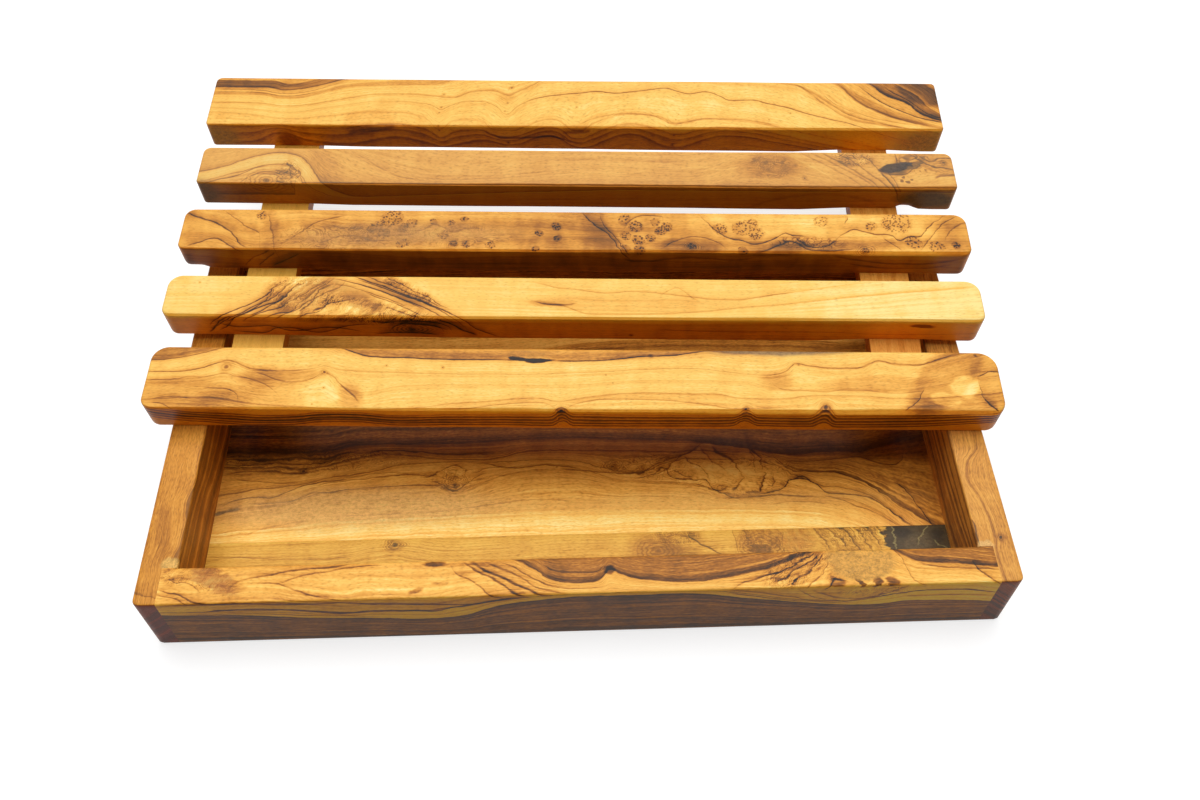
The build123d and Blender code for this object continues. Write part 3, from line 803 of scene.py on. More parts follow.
floor_middle_wood = oiled_olive_wood(
    "olive_wood_floor_board_middle",
    floor_high.z,
    lines=[
        [(-182, -64), (-100, -62), (0, -61), (100, -62), (150, -74), (182, -98)],
        [(-182, -56), (-150, -54), (-125, -51), (-90, -50), (0, -48), (80, -50), (110, -52), (150, -66),
         (182, -92)],
        [(-182, -46), (-168, -42), (-160, -40), (-140, -38), (-130, -35), (-120, -33.5), (-105, -32),
         (-85, -31), (-70, -30.5), (-61, -34.5), (-52, -32), (-42, -28), (-32, -25), (-20, -23), (0, -23.5),
         (20, -30), (28, -31), (48, -33), (60, -35), (68, -39), (76, -41.5), (100, -42), (120, -43),
         (135, -47), (150, -56), (160, -66), (182, -86)],
        [(-182, -35), (-165, -33), (-158, -31.5), (-148, -30.8), (-136, -28.8), (-130, -27.5), (-122, -25),
         (-112, -24), (-102, -23), (-94, -21), (-86, -18.8), (-76, -17.8), (-62, -17.4), (-40, -18),
         (-10, -18), (0, -19), (15, -24), (24, -26), (34, -25), (42, -22), (52, -19), (70, -19.5),
         (88, -21), (97, -24), (105, -29), (114, -34), (119, -36.8), (126, -37.5), (133, -39.5), (140, -43),
         (146, -47), (152, -54), (158, -59.5), (182, -80)],
        [(-182, -17), (-165, -18.5), (-150, -19), (-138, -20), (-128, -19.5), (-118, -17), (-105, -13),
         (-95, -11.5), (-84, -13), (-72, -15.5), (-60, -16.5), (-48, -17), (-38, -16.5), (-28, -13),
         (-12, -12), (0, -12), (40, -14), (70, -15), (94, -18), (104, -25), (113, -28), (126, -28.8),
         (136, -32.5), (146, -40), (155, -48), (164, -55.5), (182, -70)],
        [(-182, -8), (-165, -9), (-150, -9.5), (-138, -10), (-125, -9), (-110, -5), (-60, -6), (0, -5),
         (40, -7), (70, -10.5), (84, -12.5), (96, -15), (108, -16), (124, -15.5), (140, -16), (152, -13),
         (182, -6)],
        [(-182, 16), (182, 16)],
    ],
    # The rings deepen towards the back past the fourth line: partly the wood's own colour, partly painted
    # shade where the floor lies under the front slat
    rings=[(0, 0.18), (0.3, 0.22), (0.5, 0.14), (0.7, 0.2), (1.0, 0.28), (1.1, 0.31), (1.5, 0.32),
           (1.7, 0.42), (1.95, 0.4), (2.0, 0.55), (2.05, 0.4), (2.3, 0.36), (2.4, 0.46), (2.6, 0.34),
           (2.95, 0.4), (3.0, 0.72), (3.06, 0.46), (3.4, 0.4), (3.6, 0.48), (3.9, 0.5), (4.0, 0.72),
           (4.1, 0.52), (4.35, 0.6), (4.5, 0.5), (4.8, 0.62), (5.0, 0.88), (5.2, 0.62), (5.5, 0.74),
           (6.0, 0.62)],
    veins=[
        ([(-176, -11.5), (-165, -13), (-150, -14), (-140, -13.5), (-128, -14.5), (-118, -11.5), (-108, -8)],
          2.4, 0.36),
        ([(-174, -16), (-163, -17), (-150, -16.6), (-138, -17.4), (-128, -17), (-118, -14)], 1.2, 0.3),
        ([(-175, -22), (-163, -20.8), (-150, -21.5), (-140, -22.5), (-132, -22)], 1.6, 0.25),
        ([(-170, -25), (-158, -26.5), (-146, -28), (-136, -27.5)], 1.0, 0.2),
        ([(-174, -40), (-168, -37.5), (-160, -35.8), (-150, -35.5), (-143, -33.5), (-136, -30),
          (-130, -28.5), (-120, -27), (-110, -25.5)], 0.9, 0.36),
        ([(-162, -38.5), (-150, -38.3), (-138, -37.5), (-134, -35.5), (-130, -34.2), (-120, -33.8),
          (-110, -32), (-100, -31.2), (-90, -31), (-80, -30.5), (-72, -30.8), (-66, -33), (-61, -35)],
          1.0, 0.3),
        ([(-133, -31), (-124, -28.5), (-112, -26.8), (-100, -26.3), (-90, -25.5), (-84, -25), (-70, -26)],
          0.9, 0.24),
        ([(-122, -24.3), (-112, -25), (-100, -24.2), (-92, -23.8), (-84, -24.5), (-76, -24.8)], 0.8, 0.2),
        ([(-110, -12), (-96, -9.5), (-84, -10.5), (-70, -12.5), (-55, -13.5), (-40, -13)], 1.4, 0.3),
        ([(-78, -27), (-72, -25.5), (-68, -23), (-65, -20.8), (-60.5, -19.8), (-57, -22), (-54, -26)],
          1.2, 0.3),
        ([(-74, -27.5), (-70, -29.5), (-66, -32), (-62, -34.5), (-58, -33.5), (-54, -31), (-50, -27),
          (-44, -24)], 1.0, 0.26),
        ([(-53, -18.5), (-46, -19), (-38, -21), (-28, -22), (-18, -21), (-8, -21.5), (2, -23)], 1.0, 0.34),
        ([(-52, -24), (-44, -21.5), (-36, -21)], 1.0, 0.22),
        ([(-54, -28.5), (-46, -28), (-40, -26), (-34, -27.5)], 1.6, 0.14),
        ([(-120, -47), (-100, -46.5), (-80, -46), (-60, -45), (-50, -43.5), (-40, -42), (-20, -40),
          (0, -42)], 0.9, 0.2),
        ([(-160, -57), (-150, -53), (-140, -50.5), (-128, -48)], 1.2, 0.18),
        ([(-176, -45), (-172, -43.5), (-168, -42), (-163, -40.6)], 3.0, 0.42),
        ([(-10, -22.8), (0, -23.8), (12, -25.8), (22, -26.3), (30, -26), (37, -22.5), (44, -19),
          (52, -16.5), (58, -13.5), (64, -9)], 1.1, 0.34),
        ([(24, -30.5), (34, -27.5), (42, -25), (47, -21), (50, -18), (56, -15), (62, -12)], 1.0, 0.3),
        ([(34, -30), (41, -24), (43, -25), (44, -28), (48, -31), (56, -31.8), (62, -32.2), (64, -34),
          (65, -37), (69, -40), (73, -42.5), (80, -44.5)], 1.1, 0.42),
        ([(46, -24), (50, -28), (54, -30), (58, -29.5)], 1.2, 0.32),
        ([(52, -17), (55, -21), (60, -24), (63, -29), (65, -34)], 1.2, 0.34),
        ([(56, -34), (61, -35.5), (65, -38), (69, -38.5), (73, -36)], 1.2, 0.28),
        ([(86, -14), (88, -20), (89.5, -26), (88.5, -30)], 2.6, 0.3),
        ([(66, -12), (70, -16), (74, -18), (77, -21), (79, -25), (81, -30), (81.5, -34)], 3.0, 0.42),
        ([(74, -39.5), (78, -36.5), (80.5, -33), (81.5, -29)], 2.0, 0.32),
        ([(60, -13), (64, -17), (67, -21), (72, -25), (74, -31)], 2.0, 0.24),
        ([(85, -12), (89, -17), (91, -22), (92, -28)], 3.0, 0.44),
        ([(87, -40), (90, -35), (92, -31), (93.5, -27)], 3.0, 0.42),
        ([(94, -38), (95.5, -34), (97, -31)], 2.4, 0.26),
        ([(96, -16), (98.5, -22), (104, -26.5), (113, -28.3), (126, -29), (136, -33), (146, -40.5),
          (155, -49), (164, -56), (172, -62)], 1.0, 0.26),
        ([(84, -41), (92, -40), (98, -38.5), (102, -34.5), (107, -32), (112, -32.8), (117, -36.5),
          (121, -41), (128, -42), (136, -43.5), (143, -46), (150, -52), (156, -57), (161, -61)], 1.2, 0.46),
        ([(102, -33.5), (110, -31), (114, -34)], 1.1, 0.4),
        ([(118, -42), (126, -45), (134, -49), (142, -52.5), (150, -57.5), (155, -61)], 1.0, 0.26),
        ([(66, -43.5), (76, -43), (84, -42.8), (94, -41.8), (106, -42.3), (116, -43)], 1.4, 0.28),
        ([(92, -47.3), (104, -45.8), (114, -46), (122, -48)], 1.0, 0.2),
        ([(155, -37), (159, -40), (162, -45), (164, -50), (167, -56), (170, -62)], 1.6, 0.34),
        ([(140, -20), (149, -24.5), (156, -26), (160.5, -23.5), (163, -18)], 1.4, 0.3),
        # A dark band along the edge of the front slat's shadow on the floor: painted shade over a growth line
        ([(56, -8.5), (70, -10.5), (84, -12.5), (96, -16), (108, -17), (124, -16), (140, -16.5), (152, -14),
          (165, -10)], 3.0, 0.3),
        ([(103, -22), (116, -22.5), (130, -21.5), (140, -20.5), (148, -22)], 1.4, 0.22),
    ],
    patches=[
        (-108, -43, 72, 11, 0, 1.0, ("#caa062", 0.55)),
        (60, -44, 90, 5, 0, 1.2, ("#cf9f58", 0.3)),
        (84, -40, 2.4, 1.1, 0, 0.8, 0.3),
        (0, -54, 180, 7, 0, 1.0, -0.05),
        # A saturated brown over the floor under the front slat: painted shade
        (30, -16, 190, 17, 0, 1.0, ("#a8600f", 0.24)),
        (72, -30, 30, 9, 0, 1.0, -0.08),
    ],
    knots=[(-61, -26, 2.4), (-61, -32, 2.0), (-135.5, -21.5, 3.2), (16.5, -22, 2.4), (-60.5, -49.2, 0.9),
           (-32.5, -52, 0.8), (-11, -22, 0.8), (-71.5, -49.2, 0.7)],
    whorls=[(-61, -28, 9, 8, 0), (16.5, -22, 8, 4.5, 0)],
    tangle=[(78, -30, 34, 14, 0), (40, -23, 26, 9, 0), (-61, -27, 14, 8, 0), (-130, -15, 60, 8, 0)],
    winds=0.4,
    seed=6,
    wobble=1.3,
    bustle=0.17,
)
floor_back_wood = oiled_olive_wood(
    "olive_wood_floor_board_back",
    floor_high.z,
    lines=[
        [(-182, 12), (0, 10), (182, 14)],
        [(-182, 26), (-90, 32), (0, 25), (60, 31), (182, 28)],
        [(-182, 52), (-60, 45), (30, 56), (182, 50)],
        [(-182, 78), (-20, 84), (182, 76)],
        [(-182, 100), (182, 100)],
    ],
    rings=[(0, 0.4), (0.4, 0.35), (0.5, 0.75), (0.55, 0.4), (1.0, 0.35), (1.05, 0.7), (1.1, 0.35),
           (1.6, 0.3), (2.0, 0.6), (2.1, 0.3), (2.6, 0.4), (3.0, 0.75), (3.05, 0.4), (4.0, 0.3)],
    veins=[([(-150, 34), (-60, 38), (20, 33), (90, 40)], 1.4, 0.35)],
    knots=[(70, 42, 4.0), (-100, 70, 5.0)],
    seed=7,
    bustle=0.2,
)
for name, wood in (
    ("floor_strip_front", floor_strip_wood),
    ("floor_board_middle", floor_middle_wood),
    ("floor_board_back", floor_back_wood),
):
    low, high = (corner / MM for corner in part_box(name))
    xs = cuts(low.x, high.x, floor_joint_ease, floor_step)
    ys = cuts(low.y, high.y, floor_joint_ease, floor_step)
    points, quads = skin(xs, ys, cuts(low.z, high.z, floor_joint_ease, floor_step))
    y, z = points[:, 1], points[:, 2]
    middle_y, middle_z = (low.y + high.y) / 2, (low.z + high.z) / 2
    inset, height = high.y - middle_y - abs(y - middle_y), high.z - middle_z - abs(z - middle_z)
    new_inset, new_height = round_over(inset, height, floor_joint_ease)
    points[:, 1] = y + np.sign(middle_y - y) * (new_inset - inset)
    points[:, 2] = z + np.sign(middle_z - z) * (new_height - height)
    piece(name + "_wood", points, quads, Matrix(), wood, "tray", name, slot="floor_wood")

# Battens: two planed olive strips that carry the slats and drop in between the rails when the board is
# closed. Their wood is plain, with its grain running front to back, the right one ruddy. The left one is
# pale, its wash partly painted light that lightens it where it lies in the slats' shade.
board_turn = -2.16
board_tilt = 4.5988
board_corner = Vector((-2.53, -21.8, 38.2))
batten_thickness = 8.5
batten_middles = {"left": -156.25, "right": 159.25}
# The left batten's pale wash is partly painted light, lightening it where it lies in the slats' shade
batten_tints_and_painted_light = {"left": ("#e6b64c", 0.7), "right": ("#c8742a", 0.4)}
board_placing = (
    Matrix.Translation(board_corner * MM)
    @ Matrix.Rotation(radians(board_turn), 4, "Z")
    @ Matrix.Rotation(radians(board_tilt), 4, "X")
)
for side, middle in batten_middles.items():
    grain_placing = board_placing @ Matrix.Translation((middle * MM, 0, -batten_thickness * MM))
    grain_placing = grain_placing @ Matrix.Rotation(radians(90), 4, "Z")
    wood = oiled_olive_wood(
        "olive_wood_batten_" + side,
        batten_thickness,
        lines=[
            [(0, -14), (80, -12), (210, -14)],
            [(0, -4), (60, -1), (120, -5), (210, -2)],
            [(0, 6), (90, 3), (150, 7), (210, 5)],
            [(0, 15), (210, 16)],
        ],
        rings=[(0, 0.34), (0.6, 0.3), (0.9, 0.5), (1.0, 0.32), (1.7, 0.3), (2.0, 0.44), (2.1, 0.3),
               (3.0, 0.36)],
        wash=batten_tints_and_painted_light[side],
        seed=8 + (side == "right"),
        bustle=0.12,
        place=(grain_placing.translation / MM, grain_placing.to_euler()),
    )
    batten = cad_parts["batten_" + side]
    batten.data.materials.clear()
    batten.data.materials.append(wood)

# Slats: five olive wood bars, each sawn from another plank, with their corners rounded on a sander and
# their edges broken by hand, so that the facet along the front varies. Screws from below hold them.
slat_thickness = 16.0
slat_half = 200.0
slat_end_reach = 10.0
slat_edge_round = 1.3
slat_foot_round = 0.5
slat_facet_reach = 3.0
slat_step = 2.5
slat_end_cuts = 15
slat_unevenness = 0.25
facet_unevenness = 0.3
# Painted shade: the tint that deepens and reddens the slats' sanded front edges, which lie in shade
slat_painted_edge_shade = "#ffdf9c"
# How far apart the sander's hills and hollows are, along the facet, the front and back faces and the top
facet_hills = 60
face_hills = 55
top_hills = 48
# A slat lies flat on the battens and this far past their middles, and hangs down most this far out
batten_clear = 13.5
belly_reach = 120
end_belly_reach = 190


def slat(name, front, depth, past_ends, corner_rounds, front_facet, belly, material, seed, nicks=()):
    """Sands a slat to shape, from its wood. front is how far back on the board it begins.

    past_ends is how much longer than the board it is, left and right. corner_rounds has the front left,
    front right, back left and back right corner, seen from above. front_facet is how wide its front top
    edge is broken, left and right, and belly how far its underside hangs down between the battens.
    nicks are natural hollows in the lower front edge: where, half the length, how high and how deep.
    """
    low_x, high_x = -slat_half - past_ends[0], slat_half + past_ends[1]
    near = slat_end_reach * (1 - np.cos(np.linspace(0, np.pi / 2, slat_end_cuts)))
    between = cuts(low_x, high_x, slat_end_reach, slat_step)[ease_cuts:-ease_cuts]
    xs = np.concatenate([low_x + near, between, high_x - near])
    ys = np.concatenate([near[near < depth / 2 - 1], depth - near[near < depth / 2 - 1], [depth / 2]])
    points, quads = skin(np.unique(xs), np.unique(ys), cuts(0, slat_thickness, slat_facet_reach, slat_step))
    x, y, z = points.T.copy()
    middle_x, middle_y = (low_x + high_x) / 2, depth / 2
    side_x, side_y = np.sign(x - middle_x), np.sign(y - middle_y)
    # The corners in plan: square rings about each corner's centre become round ones
    radius = np.choose((side_x > 0) + 2 * (side_y > 0), corner_rounds)
    past_x = radius - (high_x - middle_x - abs(x - middle_x))
    past_y = radius - (middle_y - abs(y - middle_y))
    corner = (past_x > 0) & (past_y > 0)
    reach = np.maximum(np.hypot(past_x, past_y), 1e-9)
    scale = np.where(corner, np.maximum(past_x, past_y) / reach, 1)
    past_x, past_y, reach = past_x * scale, past_y * scale, reach * scale
    x = middle_x + side_x * (high_x - middle_x - radius + past_x)
    y = middle_y + side_y * (middle_y - radius + past_y)
    inset = radius - np.where(corner, reach, np.maximum(past_x, past_y))
    to_x = np.where(corner, past_x / np.maximum(reach, 1e-9), past_x > past_y)
    to_y = np.where(corner, past_y / np.maximum(reach, 1e-9), past_x <= past_y)
    # The edges above and below are rolled over, but along the front a flat facet is sanded off
    facet = np.interp(x, [low_x, high_x], front_facet)
    facet = facet * (1 + facet_unevenness * wander(points * (1, 0, 0), facet_hills, seed))
    facet = slat_edge_round + (facet - slat_edge_round) * np.clip(-side_y * to_y, 0, 1)
    for height, edge, up in ((slat_thickness - z, facet, 1), (z.copy(), slat_foot_round, -1)):
        new_inset, new_height = round_over(inset, height, edge)
        facing = np.clip(-2 * side_y * to_y - 1, 0, 1) * (up > 0) * (new_inset < edge) * (new_height < edge)
        share = 0.5 + (new_inset - new_height) / edge / 2
        new_inset = new_inset + facing * (share * edge - new_inset)
        new_height = new_height + facing * ((1 - share) * edge - new_height)
        x = x - side_x * (new_inset - inset) * to_x
        y = y - side_y * (new_inset - inset) * to_y
        z = z + up * (height - new_height)
    # Hand sanding leaves the faces a little uneven, less at the bottom, which lies on the battens
    y = y + slat_unevenness * wander(np.stack([x, side_y * 20, 0 * x], -1), face_hills, seed + 5)
    hollows = (1 + wander(np.stack([x, y, 0 * x], -1), top_hills, seed + 9)) / 2
    z = z - slat_unevenness * (z / slat_thickness) * hollows
    left, right = batten_middles["left"], batten_middles["right"]
    places = [left - batten_clear, left + batten_clear, -belly_reach, belly_reach]
    places += [right - batten_clear, right + batten_clear, end_belly_reach]
    hang = np.interp(x, places, [0, 0, belly[0], belly[1], 0, 0, belly[1] / 2])
    z = z - hang * (1 - z / slat_thickness)
    for along, half_long, cut_up, cut_in in nicks:
        bite = np.exp(-(((x - along) / half_long) ** 4)) * (y < depth / 4)
        y = y + bite * cut_in * np.clip(1 - z / cut_up / 2, 0, 1)
        z = z + bite * cut_up * np.clip(1 - z / cut_up / 2, 0, 1) * np.clip(1 - y / cut_up / 2, 0, 1)
    placing = board_placing @ Matrix.Translation((0, front * MM, 0))
    points = np.stack([x, y, z], -1)
    return piece(name + "_wood", points, quads, placing, material, "board", name, slot="slat_wood")


# Front slat: the widest of the five, of pale gold olive wood from near the bark. It has small pin knots
# and a black crack with bark in it near its back edge, and its corners are sanded the roundest.
front_slat_depth = 34.5
front_slat_wood = oiled_olive_wood(
    "olive_wood_front_slat",
    slat_thickness,
    lines=[
        [(-203, -7), (-188, -11), (-170, -13.5), (-150, -15.8), (-132, -15.5), (-115, -12.5), (-100, -12.5),
         (-82, -15), (-50, -14), (-10, -14.5), (-5, -10), (0, -14.5), (40, -14), (75, -13.5), (81, -9),
         (87, -13), (112, -13.5), (118, -9.5), (124, -14), (160, -13), (180, -10.5), (203, -8)],
        [(-203, 2), (-190, -1), (-175, -4), (-158, -5), (-145, -6.5), (-128, -5.5), (-112, -3), (-98, -3.2),
         (-82, -5), (-60, -4), (-10, -3.5), (-5, 1.8), (0, -3), (40, -3.5),
         (76, -3), (80.5, 1.5), (86, -3), (110, -3), (117, 4), (124, -3), (160, -2), (203, 0)],
        [(-203, 4), (-170, 6), (-150, 3), (-125, 1), (-100, -1), (-85, 0), (-70, 1), (-55, 3.7), (-40, 5),
         (-22, 7), (-15, 7), (-6, 5), (0, 6), (15, 8.5), (38, 10), (66, 10), (80, 7.5), (96, 7.2), (115, 9),
         (135, 9), (150, 8), (175, 9), (203, 12)],
        [(-203, 15.5), (-185, 16), (-170, 17.5), (-163, 19.5), (-155, 17.5), (-143, 14), (-130, 15),
         (-122, 17), (-117, 20), (-112, 16), (-105, 11), (-98, 9), (-80, 13), (-40, 14), (0, 14), (40, 17),
         (80, 17), (95, 13), (110, 11.8), (130, 13), (150, 12), (165, 14), (185, 18), (203, 21)],
        [(-203, 20), (-185, 20), (-175, 22), (-165, 25.5), (-158, 23.5), (-150, 21), (-140, 21),
         (-122, 22.5), (-117, 24), (-110, 22), (-90, 21), (-40, 20), (0, 21), (50, 24), (90, 20.5),
         (101, 23.5), (106, 27.5), (111, 26.3), (128, 25), (137, 25.5), (146, 29), (155, 27), (165, 27.5),
         (178, 32), (203, 40)],
        [(-203, 26.5), (-190, 27.5), (-180, 29.5), (-165, 34), (-140, 36.5), (-112, 35), (-103, 31),
         (-98, 29.5), (-80, 29), (-55, 28), (-30, 27.5), (0, 27.8), (20, 29), (37, 31), (48, 31.5),
         (65, 34.5), (80, 33), (120, 34), (150, 38), (203, 46)],
        [(-203, 40), (203, 52)],
    ],
    rings=[(0, 0.4), (0.08, 0.86), (0.16, 0.42), (0.3, 0.84), (0.38, 0.4), (0.53, 0.88), (0.62, 0.4),
           (0.78, 0.82), (0.86, 0.34), (0.97, 0.56), (1.02, 0.32), (1.3, 0.2), (1.55, 0.22), (1.6, 0.34),
           (1.64, 0.2), (1.9, 0.24), (1.99, 0.46), (2.03, 0.2), (2.6, 0.16), (3.0, 0.26), (3.03, 0.17),
           (3.5, 0.17), (3.92, 0.24), (3.99, 0.44), (4.03, 0.2), (4.6, 0.17), (4.9, 0.26), (5.0, 0.36),
           (5.06, 0.34), (6.0, 0.32)],
    veins=[
        ([(-114, 36), (-108, 33), (-103, 31), (-98, 29.5), (-88, 28.8), (-80, 29), (-70, 28.3), (-55, 28),
          (-40, 27.8), (-29, 27.5)], 1.0, 0.6),
        ([(-11, 27.3), (0, 27.7), (12, 28), (20, 29), (30, 30.5), (37, 31), (48, 31.5), (58, 33), (68, 35)],
          1.0, 0.6),
        ([(-151, 21), (-145, 18.5), (-138, 15.5), (-130, 14.5), (-123, 16), (-118, 21)], 1.0, 0.22),
        ([(-118, 21), (-113, 18), (-110, 15), (-105, 10), (-101, 6.5), (-98, 3)], 1.8, 0.3),
        ([(-204, 15.5), (-190, 15.5), (-180, 17), (-170, 17.5), (-163, 19), (-158, 17.5), (-150, 16),
          (-143, 13), (-138, 9), (-134, 5)], 1.0, 0.2),
        ([(-172, 11), (-165, 11), (-158, 9.5), (-155, 6), (-154, 1)], 0.8, 0.3),
        ([(-194, 5), (-185, 6), (-176, 5)], 0.9, 0.25),
        ([(-195, 3), (-188, 1.5), (-184, -2)], 1.0, 0.25),
        ([(-204, 26.5), (-190, 27.5), (-180, 29.5), (-172, 32), (-163, 36)], 1.0, 0.25),
        ([(-204, 20), (-190, 20), (-180, 21), (-172, 23), (-167, 25.5), (-163.5, 26.5), (-160, 25.5),
          (-155, 23), (-148, 21.5), (-138, 21)], 1.5, 0.3),
        ([(-188, -1.5), (-178, -4), (-165, -5), (-152, -6), (-140, -7), (-128, -7), (-116, -6),
          (-104, -5.2), (-90, -5.8), (-70, -6.5)], 2.0, 0.15),
        ([(-200, -3), (-190, -6.5), (-178, -8), (-165, -8.5), (-152, -10.5), (-138, -11.5), (-125, -10.5),
          (-115, -9), (-105, -8.5), (-92, -10), (-75, -11), (-50, -11.5)], 2.4, 0.15),
        ([(-62, 0), (-50, 0.6), (-38, 2.6), (-28, 3.8), (-18, 4.3), (-12, 3.8), (-8, 1.5), (-5, -2)],
          1.2, 0.26),
        ([(-5, -2), (-2, 1.5), (8, 5), (18, 6), (38, 6), (50, 5.5), (65, 3.2), (78, 1.5), (86, 1.8),
          (100, 2)], 1.2, 0.26),
        ([(92, 19), (95, 14), (100, 12), (108, 11.7), (118, 11), (125, 12), (135, 12), (150, 10.5),
          (166, 12)], 1.2, 0.2),
        ([(97, 22), (101, 23.5), (106, 27.5), (110, 26.5), (118, 25.5), (128, 25), (135, 25), (140, 27),
          (146, 29), (150, 28), (163, 27), (170, 29), (178, 32), (186, 36)], 1.3, 0.22),
        ([(190, 21), (190.6, 15), (191, 10), (193, 6), (196, 3), (198, 0)], 2.0, 0.5),
        ([(190, 20), (193, 21), (196, 23), (203, 23)], 1.0, 0.45),
        ([(154, 1), (158, 4), (163, 10), (165, 14)], 1.0, 0.4),
    ],
    patches=[
        (-20, 27.8, 10, 0.9, 0, 0.5, 0.9),
        (-17, 27, 5, 1.3, 6, 0.5, 0.9),
        (-26, 28.3, 4, 1.2, -10, 0.5, 0.9),
        (-22, 31.5, 9, 2, 0, 1.0, ("#b5792f", 0.6)),
        (100, 34.2, 32, 2.4, 1, 0.9, "#8f7048"),
        (76, 34, 12, 1.6, -4, 0.8, 0.4),
        (108, 34.5, 14, 1.4, 0, 0.9, 0.25),
        (-20, 32.5, 95, 3.8, 0, 0.6, 0.12),
        (-184, 8, 30, 8, -3, 0.8, 0.2),
        (-160, 4, 20, 8, 20, 1.0, 0.17),
        (-140, 10, 14, 8, -30, 1.0, 0.12),
        (-178, 15, 22, 3, 2, 0.9, 0.1),
        (-138, 18.5, 19, 3.8, 2, 0.7, 0.2),
        (-190, 32, 24, 4, 12, 0.6, 0.22),
        (-60, 31, 40, 3, -3, 0.9, 0.05),
        (-103, 7, 5, 7, 30, 0.9, 0.2),
        (-117, 8, 7, 10, 0, 0.7, -0.1),
        (96, 17, 7, 5, 0, 0.9, 0.22),
        (110, 19, 9, 5.5, 0, 0.8, -0.06),
        (142, 16, 24, 5, 3, 0.7, 0.17),
        (176, 20, 27, 11, 50, 0.4, 0.25),
        (176, 3, 22, 6, 8, 0.7, 0.18),
        (196, 18, 9, 16, 0, 0.6, 0.2),
        (184, 14.5, 7, 6, 20, 0.35, -0.27),
        (174, 7.5, 7, 3.6, -8, 0.4, -0.24),
        (0, 22, 60, 5, 0, 1.2, -0.04),
    ],
    knots=[(-163.5, 22.5, 4.5), (-117, 20.3, 3.0), (-116, 11.4, 1.2), (-5, -0.5, 3.2), (80.5, 1.2, 2.6),
           (117, 2.5, 4.2), (-88, 24.2, 1.1), (-61.5, 23.5, 1.3), (37, 31, 1.8), (-120, 2.4, 0.8),
           (15.5, 19.7, 0.9), (191.5, 32.3, 1.2), (19, 15, 0.6), (106.5, 26.5, 1.2)],
    grain=0.75,
    seed=10,
    wobble=0.6,
    bustle=0.08,
    breadth=front_slat_depth,
    # The front edge's and front face's tints are painted shade
    painted_edge_shade=slat_painted_edge_shade,
    painted_front_shade="#fffda3",
)
slat(
    "front_slat",
    front=0,
    depth=front_slat_depth,
    past_ends=(0, 1.5),
    corner_rounds=(6, 7, 8, 9),
    front_facet=(0.6, 2.0),
    belly=(0.1, 0.1),
    material=front_slat_wood,
    seed=1,
)

